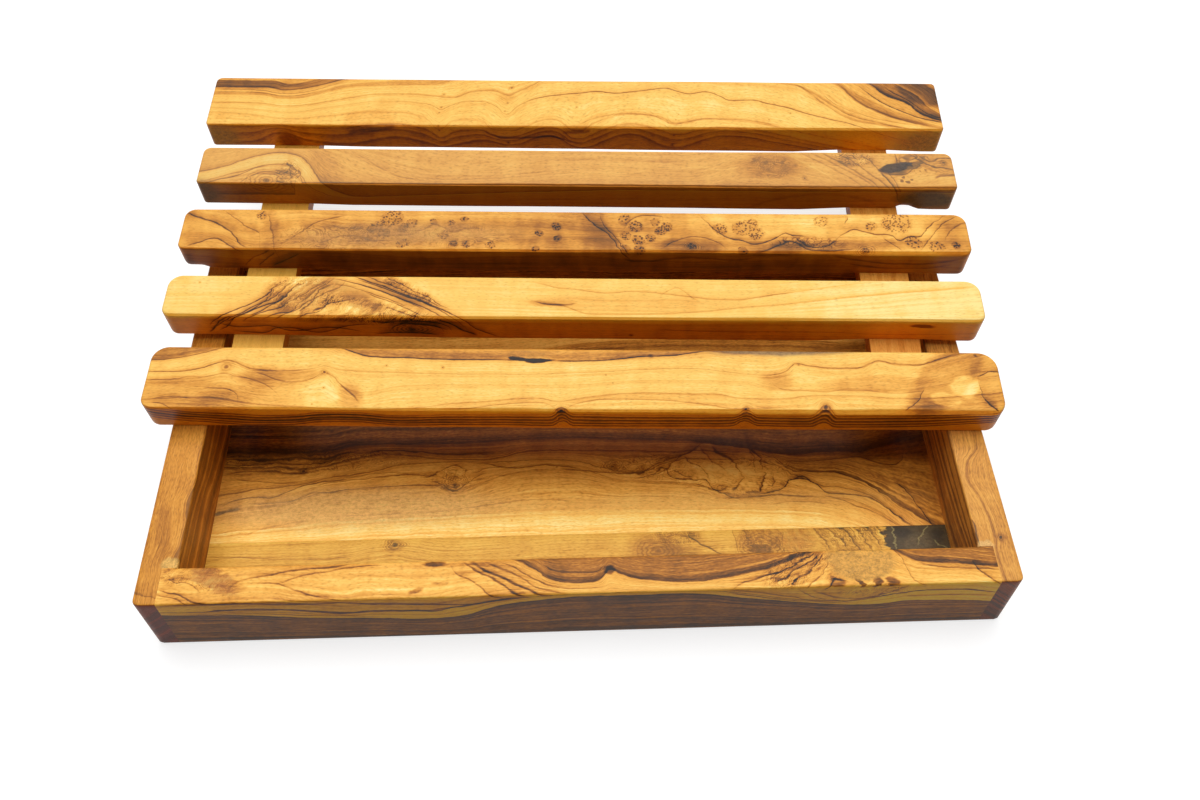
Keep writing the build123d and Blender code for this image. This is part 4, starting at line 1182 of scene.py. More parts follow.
# Second slat: a narrow bar of pale olive sapwood, but for a tangle of dark lines towards its left end,
# where the tree grew over a wound.
second_slat_depth = 25.0
second_slat_wood = oiled_olive_wood(
    "olive_wood_second_slat",
    slat_thickness,
    lines=[
        [(-203, -18), (203, -18)],
        [(-203, -2), (-100, -1), (0, -3), (203, -1)],
        [(-203, 8), (-100, 8), (0, 6), (60, 5), (203, 18)],
        [(-203, 30), (0, 26), (100, 27), (203, 36)],
    ],
    rings=[(0, 0.55), (0.5, 0.48), (0.9, 0.4), (1.0, 0.18), (1.6, 0.14), (2.0, 0.16), (2.5, 0.13),
           (3.0, 0.17)],
    veins=[
        ([(-180, -9), (-176, -4), (-172, -0.5), (-168, 2), (-160, 6), (-155, 9.5), (-150, 13.5), (-147, 18),
          (-145, 25)], 1.2, 0.62),
        ([(-180, -13), (-174, -7), (-168, -2), (-160, 3), (-154, 7), (-149, 10), (-145, 14), (-142, 18),
          (-139, 25)], 1.0, 0.5),
        ([(-172, -6), (-164, -1), (-157, 3), (-150, 6.5), (-145, 9), (-141, 13), (-138, 17), (-134, 21),
          (-131, 25)], 1.2, 0.55),
        ([(-163, -5), (-156, 0), (-149, 3), (-143, 5), (-138, 9), (-134, 12), (-130, 16), (-125, 20),
          (-121, 25)], 1.0, 0.5),
        ([(-152, -3), (-145, 1), (-138, 2.5), (-133, 5), (-130, 9), (-125, 12), (-119, 16), (-114, 21),
          (-112, 25)], 1.3, 0.5),
        ([(-136, -3), (-130, 1), (-124, 3), (-121, 7), (-114, 9), (-106, 11)], 1.0, 0.45),
        ([(-113, 26), (-104, 22.5), (-94, 18.5), (-84, 13.6), (-74, 9), (-66, 5.5), (-58, 1.5), (-53, -3),
          (-49, -9), (-38, -16)], 1.1, 0.55),
        ([(-110, 23.8), (-100, 20), (-90, 15.6), (-80, 11), (-72, 7.6), (-65, 4.2), (-60, 1), (-56, -5),
          (-52, -12)], 0.9, 0.45),
        ([(-112, 21.5), (-102, 18), (-92, 14), (-82, 9.5), (-74, 6), (-68, 3), (-62, -1), (-59, -6)],
          0.9, 0.45),
        ([(-96, 26), (-88, 21.5), (-80, 16.5), (-72, 12), (-66, 8), (-60, 4.5)], 0.8, 0.42),
        ([(-104, 15), (-95, 11), (-86, 7), (-78, 3), (-72, 0)], 0.9, 0.4),
        ([(-22, 22), (-15, 20.5), (-8, 18.5), (0, 18), (8, 16.5), (18, 15.5), (28, 16.5), (38, 16),
          (48, 14.5), (60, 13), (70, 12), (80, 12), (90, 13.5), (100, 15.5), (110, 17)], 1.3, 0.24),
        ([(80, 12), (100, 15.5), (120, 19), (130, 21), (140, 22.5), (150, 24)], 1.0, 0.15),
        ([(-20, 10), (-12, 8), (-5, 7.5), (0, 5), (5, 3), (12, 2.5), (25, 2.5), (40, 3), (60, 4.5), (80, 7),
          (100, 9), (130, 13), (160, 17), (200, 21)], 1.5, 0.22),
        ([(-20, 10), (-14, 8.6), (-6, 8), (2, 9)], 1.2, 0.3),
        ([(42, 13), (46, 17), (50, 19), (54, 17), (58, 13), (62, 11)], 1.2, 0.16),
        ([(-6, 13), (10, 11), (30, 10.5), (50, 11), (66, 10)], 1.6, 0.1),
        ([(-176, -12), (-170, -8), (-166, -2), (-160, 2), (-156, 4), (-152, 8), (-149, 13), (-146, 20),
          (-144, 25)], 1.0, 0.5),
        ([(-158, 0), (-152, 3), (-147, 7), (-143, 10), (-140, 14), (-137, 19), (-135, 25)], 1.1, 0.5),
        ([(-146, -3), (-140, 1), (-136, 4), (-133, 9), (-129, 13), (-126, 17), (-122, 21), (-118, 25)],
          1.4, 0.45),
        ([(-133, 3), (-130, 6), (-127, 11), (-125, 16), (-120, 20)], 2.6, 0.6),
        ([(-126, 4), (-122, 6), (-119, 10), (-117, 15)], 2.0, 0.5),
        ([(-124, 24), (-114, 22), (-104, 19), (-96, 16), (-88, 12), (-80, 8), (-72, 4)], 0.9, 0.4),
        ([(-122, 20), (-112, 18.5), (-104, 15.5), (-96, 12.5), (-88, 9), (-82, 6)], 0.8, 0.35),
        ([(-106, 26), (-98, 22.5), (-90, 19), (-82, 15), (-74, 11), (-68, 8), (-62, 5)], 0.9, 0.4),
        ([(-93, 6), (-86, 3.5), (-80, 1), (-74, -1)], 0.9, 0.4),
        ([(-92, -13), (-88, -8), (-80, -5.5), (-72, -6.5), (-66, -9), (-64, -13)], 1.1, 0.5),
        ([(-95, -6), (-88, -3.8), (-78, -3.6), (-68, -4.6), (-62, -8), (-60, -13)], 1.1, 0.5),
        ([(-178, -5), (-165, -9), (-150, -8), (-138, -12), (-120, -9), (-104, -13)], 1.0, 0.4),
        ([(-170, -12), (-156, -14), (-142, -9), (-126, -13), (-112, -8), (-98, -6)], 1.0, 0.4),
        ([(-100, -3), (-92, -5), (-80, -6), (-68, -7.5), (-62, -11)], 1.2, 0.4),
        ([(-100, -15), (-90, -13.5), (-78, -13.5), (-66, -15)], 1.2, 0.4),
        ([(40, -9), (80, -11), (120, -10), (160, -12), (203, -10)], 1.6, 0.12),
        ([(-68, -1), (-61, -5), (-56, -10), (-48, -15)], 2.2, 0.4),
        ([(-181, -14), (-176, -8), (-172, -3), (-166, 0)], 2.0, 0.4),
    ],
    patches=[
        (-116, 9, 44, 13, -3, 0.5, 0.12),
        (-84, 14, 24, 4.5, -33, 0.8, 0.2),
        (-150, 5, 16, 7, 45, 0.8, 0.12),
        (-104, 10, 11, 4, -25, 1.0, 0.28),
        (-128, 9, 5, 4, 60, 0.6, -0.22),
        (-112, 3.5, 13, 3, 0, 0.8, -0.16),
        (-136, 21, 6, 3, 40, 0.8, -0.15),
        (-90, 6, 12, 3, -30, 0.8, -0.12),
        (-14, 8.5, 9, 1.5, -8, 0.9, 0.2),
        (24, 10, 44, 5.5, 0, 0.8, 0.1),
        (-118, -9, 58, 8, 0, 0.6, 0.03),
        (-128, 16, 16, 9, 50, 0.8, ("#b87a34", 0.35)),
        (-108, 12, 16, 5, -30, 0.9, ("#b87a34", 0.35)),
        (-190, -9, 16, 9, 0, 0.8, -0.08),
        (-80, -10, 17, 5, -6, 0.7, 0.06),
        (-64, -5, 10, 4, -20, 1.0, 0.14),
        (-130, -9, 40, 8, 0, 1.0, -0.03),
        (171, -5, 6.5, 1.3, -6, 0.6, 0.5),
        # Painted sheen: the front face is lighter towards the right end
        (165, -9, 60, 8, 0, 1.2, -0.14),
        (-188, 12, 18, 16, 0, 1.0, -0.02),
        # Painted sheen: the top is lighter towards the right end
        (165, 10, 50, 20, 4, 1.2, -0.12),
    ],
    knots=[(-80, -10.5, 3.0), (-186, 20.5, 1.0), (28, -14, 1.4)],
    whorls=[(-80, -10.5, 12, 5.5, 0)],
    tangle=[(-132, 12, 22, 15, -28), (-106, 3, 42, 9, -8), (-82, 17, 20, 4, -33)],
    winds_turn=52,
    breadth=second_slat_depth,
    grain=0.4,
    seed=11,
    wobble=0.6,
    bustle=0.08,
    # The front edge's and front face's tints are painted shade
    painted_edge_shade=slat_painted_edge_shade,
    painted_front_shade="#f0f3c2",
)
slat(
    "second_slat",
    front=52.5,
    depth=second_slat_depth,
    past_ends=(1, 1),
    corner_rounds=(5, 5, 7, 7.5),
    front_facet=(1.1, 1.2),
    belly=(1.0, 2.0),
    material=second_slat_wood,
    seed=2,
)

# Middle slat: a narrow bar of olive burr, orange, with clusters of bird's eyes and lines that wind round
# them. A small natural hollow is left in the lower edge at its left end.
middle_slat_depth = 26.4
middle_slat_wood = oiled_olive_wood(
    "olive_wood_middle_slat",
    slat_thickness,
    lines=[
        [(-203, -18), (203, -18)],
        [(-203, -4), (-160, -8), (-140, -2), (-60, -6), (0, -4), (60, -8), (120, -5), (203, -6)],
        [(-203, 8), (-184, 9), (-160, 3), (-120, 6), (-60, 5), (0, 8), (60, 4), (120, 5), (203, 8)],
        [(-203, 24), (-193, 20), (-180, 15), (-165, 12), (-140, 16), (-100, 14), (-40, 17), (20, 14),
         (80, 16), (140, 17), (203, 18)],
        [(-203, 34), (203, 32)],
    ],
    rings=[(0, 0.58), (0.6, 0.64), (0.95, 0.56), (1.05, 0.46), (1.6, 0.4), (2.0, 0.46), (2.5, 0.35),
           (3.0, 0.46), (3.4, 0.36), (4.0, 0.4)],
    veins=[
        ([(-204, 24.5), (-193, 20), (-185, 17), (-178, 13), (-173, 8), (-170, 4), (-165, 0)], 1.5, 0.45),
        ([(-182, 26), (-176, 21), (-168, 15), (-160, 10), (-156, 6), (-153, -1), (-158, -6)], 1.0, 0.25),
        ([(-197, 1), (-190, 4), (-184, 6.5), (-178, 4), (-172, 0), (-168, -4)], 1.2, 0.4),
        ([(-158, 26), (-156, 15), (-153, 8), (-152, 0), (-151, -10)], 4.0, 0.2),
        ([(-149, 0), (-147, 5), (-141, 10), (-135, 16), (-127, 20), (-118, 23)], 1.2, 0.25),
        ([(-132, 1), (-126, 6), (-118, 9), (-108, 8), (-100, 6), (-90, 6)], 1.4, 0.22),
        ([(-105, 9), (-95, 9.5), (-85, 10), (-78, 13), (-72, 16), (-62, 12), (-52, 15), (-45, 12)],
          2.0, 0.2),
        ([(3, 26), (10, 18), (16, 12), (20, 6), (23, -1), (28, -6)], 1.6, 0.42),
        ([(12, 26), (15, 17), (20, 10), (24, 2), (27, -3)], 1.3, 0.4),
        ([(24, 14), (28, 21), (36, 24), (45, 23.5), (52, 21), (55, 17), (51, 12), (47, 8)], 1.0, 0.3),
        ([(62, 26), (68, 19), (73, 13), (78, 9), (85, 7.5), (90, 5), (95, 6), (100, 8), (104, 10),
          (106, 13), (110, 11), (116, 10.5), (122, 11)], 1.2, 0.5),
        ([(132, 6), (135, 11), (139, 14), (143, 15.5), (148, 14), (154, 12), (162, 11), (165, 8), (170, 10),
          (177, 11), (180, 16), (184, 20), (190, 26)], 1.3, 0.5),
        ([(90, -1), (98, 2), (104, 5), (108, 7), (113, 6), (117, 2), (125, 1), (135, 1.5), (143, 3)],
          1.6, 0.4),
        ([(110, 11), (114, 7), (119, 4), (124, 3), (130, 6), (134, 8)], 1.3, 0.4),
        ([(157, 10), (162, 5), (166, 1)], 1.0, 0.3),
        ([(174, 1), (178, 6), (183, 12), (188, 19), (196, 25)], 1.1, 0.35),
        ([(138.6, 17), (139.4, 21), (140.2, 26)], 2.2, 0.5),
        ([(43, 2), (52, 7), (60, 10), (70, 8), (77, 1)], 1.0, 0.28),
        ([(204, 22), (196, 19), (192, 15), (188, 8)][::-1], 1.6, 0.25),
        ([(-170, -15), (-167, -10), (-163, -6), (-158, -3), (-154, 0)], 1.8, 0.3),
        ([(-163, -15), (-160, -10), (-156, -6), (-152, -2)], 1.8, 0.3),
        ([(-157, -15), (-152, -11), (-146, -7), (-140, -3)], 1.6, 0.25),
        ([(20, -1), (26, -6), (34, -7.5), (60, -5), (80, -6.5), (92, -4)], 2.4, 0.2),
        ([(130, -2), (145, -6), (160, -8.5), (175, -9), (190, -6), (200, -3)], 2.2, 0.24),
        ([(135, -8), (150, -10.5), (165, -12.5), (180, -12), (195, -8)], 2.0, 0.2),
    ],
    patches=[
        (-108, 9, 36, 8, 3, 1.0, ("#b07f48", 0.5)),
        (-66, 11, 34, 6, 0, 1.2, ("#b07f48", 0.45)),
        (-145, 18, 12, 6, -30, 0.8, -0.08),
        (-155, 12, 5, 14, 8, 1.0, 0.12),
        (60, 3.5, 18, 5.5, 0, 0.5, 0.12),
        (105, 2, 16, 4.5, 10, 0.7, 0.16),
        (150, 6, 14, 5, 0, 0.8, 0.14),
        (92, 19, 34, 8, 0, 1.0, -0.19),
        (152, 17, 36, 9, 0, 1.0, -0.18),
        (-8, 11, 30, 13, 0, 1.0, 0.08),
        # Painted sheen: the front face is lighter towards the right end
        (172, -8, 38, 10, 0, 1.2, -0.24),
        (-164, -9, 8, 7, 0, 1.0, -0.16),
        (-186, -8, 12, 8, 0, 1.0, -0.1),
        (12, 12, 6, 16, 20, 1.0, 0.12),
        (25, 14, 60, 14, 0, 1.0, 0.05),
        (193, 10, 9, 12, 0, 1.0, 0.06),
    ],
    birds_eyes=[(-95, 21, 6), (-102, 14.5, 4), (-97, 10.5, 3.4), (-88, 14.5, 3), (-84, 17.5, 3),
                (-89, 3, 2.6), (-86, 4.5, 2.4), (-73, 18, 2.1), (-64, 18, 2.1), (-57, 20.5, 2.2),
                (-67, 10, 3), (-62, 4.5, 2.2), (-55, 3.5, 2.2), (-43, 3, 2.6), (-19, 11.5, 2.4),
                (-10, 16.5, 2.8), (-9.5, 8, 2.2), (-20, 1, 2.2), (25, 21, 3.4), (31, 17, 4),
                (26, 10.5, 3.2), (32.5, 7.8, 3.4), (39, 9, 2.8), (25, 2.5, 2.6), (32, 1, 3.2),
                (44, 14, 3.4), (47, 17, 3), (41, 20, 2.6), (59.5, 3.5, 2.2), (84, 0.5, 2.6), (74, 15.5, 4),
                (85, 16, 5), (92, 12.5, 4.5), (90, 19, 4), (126, 21, 4), (152, 17.5, 3.2), (165, 20, 8),
                (172, 6.5, 4.4), (183, 4, 4), (193, 5.5, 2.4), (147, 1, 2.2), (-161, 22, 3)],
    whorls=[(147, 1, 6, 5, 0), (59.5, 3.5, 5, 4, 0)],
    tangle=[(-120, 8, 34, 9, 0), (-65, 9, 34, 8, 0), (118, 6, 20, 5, 0)],
    winds=0.55,
    breadth=middle_slat_depth,
    grain=0.55,
    seed=12,
    wobble=1.1,
    bustle=0.08,
    mottle=0.4,
    # The front edge's and front face's tints are painted shade
    painted_edge_shade=slat_painted_edge_shade,
    painted_front_shade="#adaa7d",
)
slat(
    "middle_slat",
    front=94.3,
    depth=middle_slat_depth,
    past_ends=(1.3, 1.3),
    corner_rounds=(4, 4.5, 5.5, 6.5),
    front_facet=(0.6, 1.6),
    belly=(0.4, 1.0),
    material=middle_slat_wood,
    seed=3,
    nicks=[(-196, 7, 1.8, 1.2)],
)

# Fourth slat: greyer brown, with a bull's eye at its left end and a bark pocket at its right end, where
# the lower front edge has a small natural hollow.
fourth_slat_depth = 25.5
fourth_slat_wood = oiled_olive_wood(
    "olive_wood_fourth_slat",
    slat_thickness,
    lines=[
        [(-203, -18), (-160, -26), (-130, -20), (203, -20)],
        [(-203, -3), (-190, 1), (-182, 2), (-170, 3), (-160, 3), (-150, 2), (-145, -2), (-138, -9),
         (-120, -12), (-60, -9), (0, -6), (100, -5), (203, -5)],
        [(-203, -1), (-190, 3), (-182, 6), (-175, 8), (-170, 11), (-165, 13), (-155, 13.5), (-149, 10),
         (-144, 3), (-138, -6), (-120, -11), (-60, -8), (0, -5), (100, -4), (203, -4)],
        [(-203, 7), (-190, 10), (-178, 16), (-170, 20), (-160, 22), (-152, 21), (-145, 17), (-140, 10),
         (-134, 0), (-126, -7), (-115, -10), (-60, -7), (0, -4), (100, -3), (203, -3)],
        [(-203, 20), (-170, 26), (-150, 30), (-130, 26), (-115, 18), (-95, 9), (-70, 4), (-30, 6), (0, 9),
         (60, 7), (90, 16), (120, 10), (150, 4), (203, 12)],
        [(-203, 34), (203, 34)],
    ],
    rings=[(0, 0.44), (0.6, 0.42), (1.0, 0.36), (1.2, 0.25), (1.5, 0.4), (1.7, 0.25), (1.93, 0.3),
           (2.0, 0.65), (2.06, 0.18), (2.6, 0.16), (2.9, 0.26), (2.97, 0.7), (3.04, 0.5), (3.3, 0.36),
           (3.7, 0.34), (4.0, 0.4), (4.3, 0.34), (5.0, 0.36)],
    veins=[
        ([(-200, -3), (-190, 1.5), (-181, 4), (-174, 7.5), (-169, 11), (-163, 12.5)], 1.1, 0.4),
        ([(-155, 14.5), (-152, 11), (-151, 6), (-150.5, 1), (-149, -6)], 3.2, 0.4),
        ([(-146, 5), (-144.5, 0), (-146, -6), (-150, -12)], 1.6, 0.4),
        ([(-178, -2), (-172, 4), (-165, 6.5), (-158, 5), (-154, -1), (-156, -6)], 1.0, 0.25),
        ([(112, 24), (122, 16.5), (131, 9.5), (139, 2)], 2.0, -0.12),
        ([(118, 26), (128, 19), (137, 12), (146, 5), (152, -1)], 2.2, 0.17),
        ([(124, 26), (134, 19), (143, 12), (151, 6), (158, -1)], 2.6, 0.2),
        ([(130, 26), (140, 18), (149, 10), (156, 4), (161, -3)], 2.4, 0.26),
        ([(138, 26), (148, 18), (155, 10), (163, 2), (168, -6)], 2.4, 0.26),
        ([(148, 26), (156, 20), (160, 14), (163, 8), (168, 0), (171, -8)], 2.4, 0.3),
        ([(92, -16), (104, -10), (118, -6), (134, -5), (150, -8), (162, -13)], 4.0, 0.14),
        ([(160, 12), (164, 6), (167, 1), (170, -6), (173, -14)], 1.8, 0.45),
        ([(164, 13), (168, 5), (170, 0), (172, -6)], 1.2, 0.4),
        ([(170.4, 17), (171, 21), (171.6, 27)], 5.0, 0.5),
        ([(178, 25), (182, 22), (186, 18), (190, 15.5), (196, 14.5), (201, 13)], 2.0, 0.45),
        ([(182, 26), (186, 21), (190, 19.5), (196, 22), (203, 21)], 1.4, 0.35),
        ([(190, 7), (195, 9), (203, 9)], 2.6, 0.45),
        ([(163, 10), (172, 9.5), (180, 14), (186, 19)], 1.3, 0.35),
        ([(-122, 24), (-112, 17), (-102, 10), (-92, 5), (-80, 3)], 2.0, 0.12),
        ([(50, 12), (65, 14), (75, 12), (90, 15)], 1.2, -0.14),
        ([(0, 9), (20, 8.5), (40, 11)], 1.2, -0.12),
    ],
    patches=[
        (170, 15, 9.5, 3.6, 18, 0.25, "#453c36"),
        (177, 15.5, 9, 3.0, 24, 0.5, 0.35),
        (168, 11, 7, 2.4, -10, 0.6, 0.3),
        (172, 5, 1.2, 0.9, 0, 0.6, 0.5),
        (175.5, 4.3, 1.2, 0.9, 0, 0.6, 0.5),
        (173, 7.2, 1.1, 0.9, 0, 0.6, 0.45),
        (178, 6, 0.9, 0.8, 0, 0.6, 0.45),
        (-133, 14, 12, 6, -55, 1.0, 0.14),
        (98, 15, 12, 8, 20, 1.2, 0.14),
        (113, 14, 7, 7, 0, 1.2, 0.13),
        (105, 15, 16, 8, 0, 1.0, ("#b9772c", 0.4)),
        (150, 14, 22, 10, -45, 1.2, -0.05),
        (185, 6, 18, 7, 0, 0.8, -0.1),
        (-198, -8, 8, 9, 0, 1.0, "#8d6a3d"),
        (186, -9, 16, 6.5, 0, 0.7, "#7e6a50"),
    ],
    knots=[(-163, 1.5, 3.0), (196, 18.3, 3.0), (120, 6.5, 2.2), (101, 16.5, 2.2), (95, 19, 1.8),
           (116, 15.5, 2.0), (186, 13, 1.2)],
    whorls=[(-163, 1.5, 13, 10, 0), (101, 16.5, 7, 6, 0)],
    tangle=[(-153, 6, 7, 10, 0), (185, 18, 16, 8, 0), (103, 15, 12, 9, 0), (148, 21, 12, 6, 0)],
    grain=0.75,
    seed=13,
    wobble=0.7,
    bustle=0.12,
    breadth=fourth_slat_depth,
    wash=("#c99d68", 0.3),
    # The front edge's and front face's tints are painted shade
    painted_edge_shade=slat_painted_edge_shade,
    painted_front_shade="#c0c8a6",
)
slat(
    "fourth_slat",
    front=138.5,
    depth=fourth_slat_depth,
    past_ends=(0.2, 1),
    corner_rounds=(2.5, 2.5, 4, 4.5),
    front_facet=(0.6, 1.4),
    belly=(1.0, 1.6),
    material=fourth_slat_wood,
    seed=4,
    nicks=[(176, 5, 1.7, 1.5)],
)

# Back slat: gold, with even growth lines that bend at each pin knot, dark heartwood along its back left
# edge, and bold lines that sweep across its right end.
back_slat_depth = 36.6
back_slat_wood = oiled_olive_wood(
    "olive_wood_back_slat",
    slat_thickness,
    lines=[
        [(-206, -18), (-180, -16), (-163, -8), (-150, -14), (-127, -18), (-100, -12), (-76, -18),
         (-50, -13), (-39, -16), (-15, -9), (3, -18), (28, -8), (52, -18), (82, -8), (110, -12), (150, -22),
         (203, -36)],
        [(-206, 9.5), (-185, 8.5), (-178, 7.5), (-165, 5), (-155, 4.5), (-145, 6), (-130, 8), (-115, 10),
         (-100, 10), (-90, 8.5), (-82, 5), (-76, -3), (-68, 4), (-60, 5), (-52, 3.5), (-45, -3), (-35, -3),
         (-28, 0), (-20, 4.5), (-14, 5.5), (-8, 3), (-2, -3), (2, -3), (8, 2), (13, 5), (20, 8.5), (28, 10),
         (38, 9.5), (46, 7), (52, 3.5), (57, 3.5), (63, 5.5), (72, 6.5), (82, 6), (95, 4.5), (103, 2.5),
         (112, 0), (130, -5), (150, -10), (203, -26)],
        [(-206, 13), (-180, 12), (-170, 11), (-160, 9.5), (-150, 10.5), (-140, 13), (-125, 16),
         (-110, 18.5), (-100, 18.5), (-90, 17.5), (-80, 15), (-76, 12), (-72, 15), (-66, 18), (-60, 19),
         (-55, 19), (-48, 17), (-44, 13), (-40, 9), (-36, 12.5), (-32, 17), (-28, 20), (-20, 23), (-10, 25),
         (3, 27), (10, 28), (20, 26.5), (30, 28), (41, 30), (48, 31), (56, 28), (62, 26), (66, 27),
         (70, 28), (80, 24), (84, 21.5), (95, 22), (105, 19.5), (118, 15.5), (125, 12), (132, 9.5),
         (140, 7), (147, 5), (158, 0), (170, -5), (203, -14)],
        [(-206, 16.5), (-175, 16), (-160, 14), (-145, 16), (-130, 20), (-110, 24), (-95, 24), (-80, 22.5),
         (-70, 21), (-60, 26), (-50, 27.5), (-45, 27), (-38, 24), (-33, 27), (-27, 31), (-20, 37), (30, 38),
         (90, 37), (122, 34), (128, 30), (135, 24), (140, 19), (143, 15), (148, 11), (155, 8), (165, 5),
         (175, 2), (185, 0), (203, -4)],
        [(-206, 23.5), (-175, 23), (-163, 20), (-155, 20.5), (-147, 23), (-138, 27), (-128, 30), (-115, 31),
         (-95, 31.5), (-80, 32), (-70, 36), (0, 46), (90, 44), (137, 39), (147, 34), (150, 28), (155, 22),
         (160, 17), (168, 12), (178, 7), (190, 3), (203, -1)],
        [(-206, 29), (-175, 29), (-163, 26.5), (-150, 29), (-140, 32.5), (-130, 36), (0, 56), (100, 54),
         (150, 43), (165, 34), (168, 30), (172, 26), (178, 23), (184, 19), (188, 13), (192, 10), (203, 5)],
        [(-206, 34), (-170, 34), (-162, 31), (-150, 34), (-140, 38), (0, 66), (100, 64), (170, 46),
         (178, 35), (184, 30), (190, 24), (195, 16), (203, 8)],
        [(-206, 42), (0, 78), (180, 50), (190, 40), (203, 26)],
    ],
    rings=[(0, 0.4), (0.14, 0.6), (0.2, 0.3), (0.4, 0.56), (0.45, 0.25), (0.6, 0.5), (0.66, 0.24),
           (0.97, 0.23), (1.0, 0.44), (1.06, 0.22), (1.6, 0.19), (1.96, 0.24), (2.0, 0.46), (2.05, 0.21),
           (2.5, 0.18), (2.95, 0.24), (3.0, 0.46), (3.1, 0.32), (3.2, 0.19), (3.9, 0.23), (4.0, 0.46),
           (4.3, 0.4), (4.4, 0.22), (4.97, 0.42), (5.02, 0.78), (5.2, 0.58), (5.9, 0.58), (6.0, 0.66),
           (6.05, 0.35), (6.4, 0.56), (7.0, 0.56)],
    veins=[
        ([(-28, 20), (-20, 23), (-10, 25), (3, 27), (10, 28), (20, 26.5), (30, 28), (41, 30), (48, 31),
          (56, 28), (62, 26), (66, 27), (70, 28), (80, 24), (84, 21.5), (95, 22), (105, 19.5), (118, 15.5),
          (125, 12), (132, 9.5), (140, 7), (147, 5), (158, 0)], 1.3, 0.26),
        ([(0, 1), (8, 6), (16, 9), (28, 10.5), (38, 9.5), (46, 6), (52, 3), (60, 5), (72, 7), (90, 6.5),
          (104, 3.5), (112, 0)], 1.8, 0.2),
        ([(118, 38), (125, 32), (131, 26), (137, 19), (143, 12), (152, 7), (165, 4), (182, 1)], 2.8, 0.22),
        ([(142, 38), (149, 31), (153, 24), (160, 17), (168, 12), (180, 7), (194, 3)], 3.8, 0.26),
        ([(131, 36), (136, 27), (141, 21), (150, 14), (160, 9.5), (172, 6), (186, 3)], 1.2, 0.22),
        ([(156, 36), (160, 30), (165, 24), (172, 18), (180, 13), (190, 8), (203, 5)], 1.3, 0.55),
        ([(164, 35), (168, 30), (172, 26), (178, 23), (184, 19), (188, 13), (192, 10), (203, 6)], 1.5, 0.5),
        ([(171, 36), (174, 30), (180, 25), (186, 20), (190, 15), (194, 11), (203, 8)], 1.2, 0.4),
        ([(-204, 27), (-190, 27), (-176, 26.5), (-163, 24), (-154, 25), (-146, 27.5), (-138, 31),
          (-130, 34)], 0.9, 0.25),
        ([(-204, 25), (-190, 25.2), (-176, 24.5), (-163, 22), (-152, 23.5), (-142, 27.5)], 0.9, 0.22),
        ([(-52, -3), (-47, -6), (-42, -9), (-35, -9), (-26, -8.5), (-15, -7), (-8, -9), (0, -13)],
          2.6, 0.3),
        ([(-128, -6.5), (-120, -4.5), (-110, -3), (-98, -0.5)], 5.0, 0.3),
        ([(-8, -4), (0, -4), (8, -2.5)], 4.0, 0.3),
    ],
    patches=[
        (-186, 31, 34, 3.2, 0, 0.6, 0.16),
        (190, 29, 14, 8, -38, 0.35, 0.24),
        (-40, 21, 5, 4.5, 0, 0.9, 0.1),
        (-160, -12, 6, 6, 0, 0.9, "#8d4a1c"),
        (-196, -9, 9, 7, 0, 1.0, "#b98a45"),
        (192, -10, 14, 8, 0, 1.2, "#c89450"),
        (60, 14, 60, 16, 0, 1.2, -0.06),
        (-60, -8, 140, 8, 0, 1.0, 0.08),
    ],
    knots=[(-75, 24, 1.7), (-76, 13.7, 1.3), (-76, 10, 0.9), (-76, 0, 1.3), (-76, -3.6, 1.3),
           (-37, 30, 2.3), (-39, 18, 1.1), (-40.5, 11.4, 1.1), (-39, -12.5, 1.7), (-1, 15, 1.2),
           (52, -6, 1.0), (52, -13, 1.6), (105, 6.8, 1.0), (117, 11.6, 1.0), (54.5, 10, 0.7), (53, 6, 0.7)],
    grain=0.75,
    seed=14,
    wobble=0.55,
    bustle=0.1,
    breadth=back_slat_depth,
    # The front edge's and front face's tints are painted shade
    painted_edge_shade=slat_painted_edge_shade,
    painted_front_shade="#effbbc",
)
slat(
    "back_slat",
    front=181,
    depth=back_slat_depth,
    past_ends=(3, 0.2),
    corner_rounds=(2.5, 2.5, 3.5, 2.5),
    front_facet=(0.6, 1.0),
    belly=(0.6, 1.8),
    material=back_slat_wood,
    seed=5,
)

# Screws: ten countersunk wood screws of zinc plated steel, driven up through the battens. The plating
# gives a cool, slightly cloudy shine.
zinc_pale = "#cfd1cd"
zinc_grey = "#a9adb0"
zinc_spangles_per_metre = 900.0
zinc = bpy.data.materials.new("zinc_plated_steel")
zinc.use_nodes = True
zinc.node_tree.nodes.clear()
zinc_node = partial(add, zinc.node_tree)
zinc_spot = zinc_node("TexCoord").outputs["Object"]
zinc_spangle = {"Vector": zinc_spot, "Scale": zinc_spangles_per_metre, "Detail": 3.0}
zinc_spangle = zinc_node("TexNoise", zinc_spangle)
zinc_cloud = {"Value": zinc_spangle, "From Min": 0.3, "From Max": 0.7}
zinc_colour = zinc_node("MapRange", zinc_cloud)
zinc_colour = {0: zinc_colour, 6: linear(zinc_grey), 7: linear(zinc_pale)}
zinc_colour = zinc_node("Mix", zinc_colour, data_type="RGBA").outputs[2]
zinc_rough = zinc_node("MapRange", {**zinc_cloud, "To Min": 0.25, "To Max": 0.45})
zinc_surface = {"Base Color": zinc_colour, "Metallic": 1.0, "Roughness": zinc_rough}
zinc_surface = zinc_node("BsdfPrincipled", zinc_surface)
zinc_node("OutputMaterial", {"Surface": zinc_surface})
for side in batten_middles:
    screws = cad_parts["batten_screws_" + side]
    screws.data.materials.clear()
    screws.data.materials.append(zinc)

